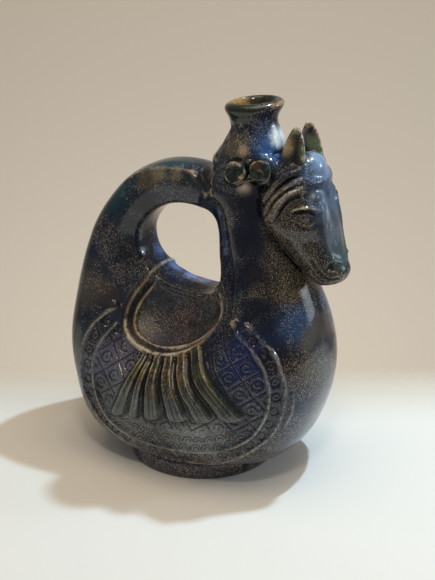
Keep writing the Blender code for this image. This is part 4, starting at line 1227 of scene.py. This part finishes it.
def paper_sheet(name, size, middle, lean, near_colour, far_colour, axis, blend, fade):
    """A flat sheet, leant back by degrees, that blends between two colours along an axis and then fades."""
    bm = bmesh.new()
    bmesh.ops.create_grid(bm, x_segments=1, y_segments=1, size=0.5)
    bmesh.ops.scale(bm, verts=bm.verts, vec=(size[0], size[1], 1.0))
    leant = Matrix.Rotation(math.radians(lean), 3, "X")
    bmesh.ops.rotate(bm, verts=bm.verts, cent=(0, 0, 0), matrix=leant)
    bmesh.ops.translate(bm, verts=bm.verts, vec=middle)
    turned = Matrix.Rotation(view_turn, 3, "Z")
    bmesh.ops.rotate(bm, verts=bm.verts, cent=(0, 0, 0), matrix=turned)
    made = new_object(name, bm)
    paper = bpy.data.materials.new(name + "_paper")
    paper.use_nodes = True
    paper_shader = paper.node_tree.nodes["Principled BSDF"]
    paper_shader.inputs["Roughness"].default_value = 0.7
    brush = Shade(paper.node_tree)
    place = brush.node("ShaderNodeTexCoord", outlet="Object")
    towards = place.vector("DOT_PRODUCT", axis, outlet="Value")
    blended = brush.over(towards.rise(*blend), (*near_colour, 1.0), (*far_colour, 1.0))
    paper.node_tree.links.new(blended.socket, paper_shader.inputs["Base Color"])
    seen = 1 - towards.rise(*fade)
    paper.node_tree.links.new(seen.socket, paper_shader.inputs["Alpha"])
    made.data.materials.append(paper)


away = (-math.sin(view_turn), math.cos(view_turn), 0.0)
# Painted shade: the table turns darker and warmer towards its far edge
paper_sheet(
    "table", size=(1.1, 0.425), middle=(0.0, -0.0675, 0.0), lean=0.0, near_colour=(0.84, 0.83, 0.82),
    far_colour=(0.66, 0.60, 0.53), axis=away, blend=(0.03, 0.12), fade=(0.095, 0.144),
)
# Painted shade: the wall turns darker towards its top
paper_sheet(
    "wall", size=(8.0, 4.0), middle=(0.0, 1.2, 0.0), lean=90.0, near_colour=(0.90, 0.82, 0.73),
    far_colour=(0.58, 0.49, 0.37), axis=(0, 0, 1), blend=(-0.55, 1.1), fade=(0.45, 0.95),
)

# Light
# A small key lamp high on the right throws the one clear shadow. A wide warm lamp overhead and a small
# one before it light the rest, a cool window with a bright pane stands on the right, and a lamp under
# the table's far edge lights the wall.
bpy.context.scene.view_settings.view_transform = "Standard"
to_right = Vector((math.cos(view_turn), math.sin(view_turn), 0.0))
to_front = Vector((math.sin(view_turn), -math.cos(view_turn), 0.0))


def lamp(name, right, front, up, size, power, colour, aim=looked_at):
    """A rectangular lamp placed by how far right, in front and up it stands, and what it is aimed at."""
    data = bpy.data.lights.new(name, "AREA")
    data.shape = "RECTANGLE"
    data.size, data.size_y = size
    data.energy = power
    data.color = colour
    made = bpy.data.objects.new(name, data)
    made.location = to_right * right + to_front * front + Vector((0.0, 0.0, up))
    made.rotation_euler = (made.location - aim).to_track_quat("Z", "Y").to_euler()
    bpy.context.scene.collection.objects.link(made)


# Name, then how far right, in front and up in metres, size, watts, colour
lamp("key_lamp", 0.33, -0.10, 0.94, (0.03, 0.03), 5.9, (0.58, 0.80, 0.93))
lamp("ceiling_lamp", 0.0, 0.1, 1.75, (1.7, 1.1), 12.5, (1.0, 0.80, 0.54))
lamp("front_lamp", 0.0, 0.95, 1.62, (0.22, 0.15), 4.4, (1.0, 0.90, 0.74))
lamp("window", 1.15, -0.10, 0.44, (0.45, 0.5), 1.9, (0.80, 0.92, 1.0))
lamp("window_glint", 1.10, -0.09, 0.45, (0.10, 0.07), 1.2, (0.90, 0.96, 1.0))
lamp("wall_lamp", 0.0, -0.45, -0.75, (1.2, 0.3), 3.3, (1.0, 0.93, 0.83), Vector((-0.6, 1.04, -0.15)))
world = bpy.data.worlds.new("room")
bpy.context.scene.world = world
world.use_nodes = True
room_light = world.node_tree.nodes["Background"]
room_light.inputs["Color"].default_value = (1.0, 0.95, 0.88, 1.0)
room_light.inputs["Strength"].default_value = 0.19
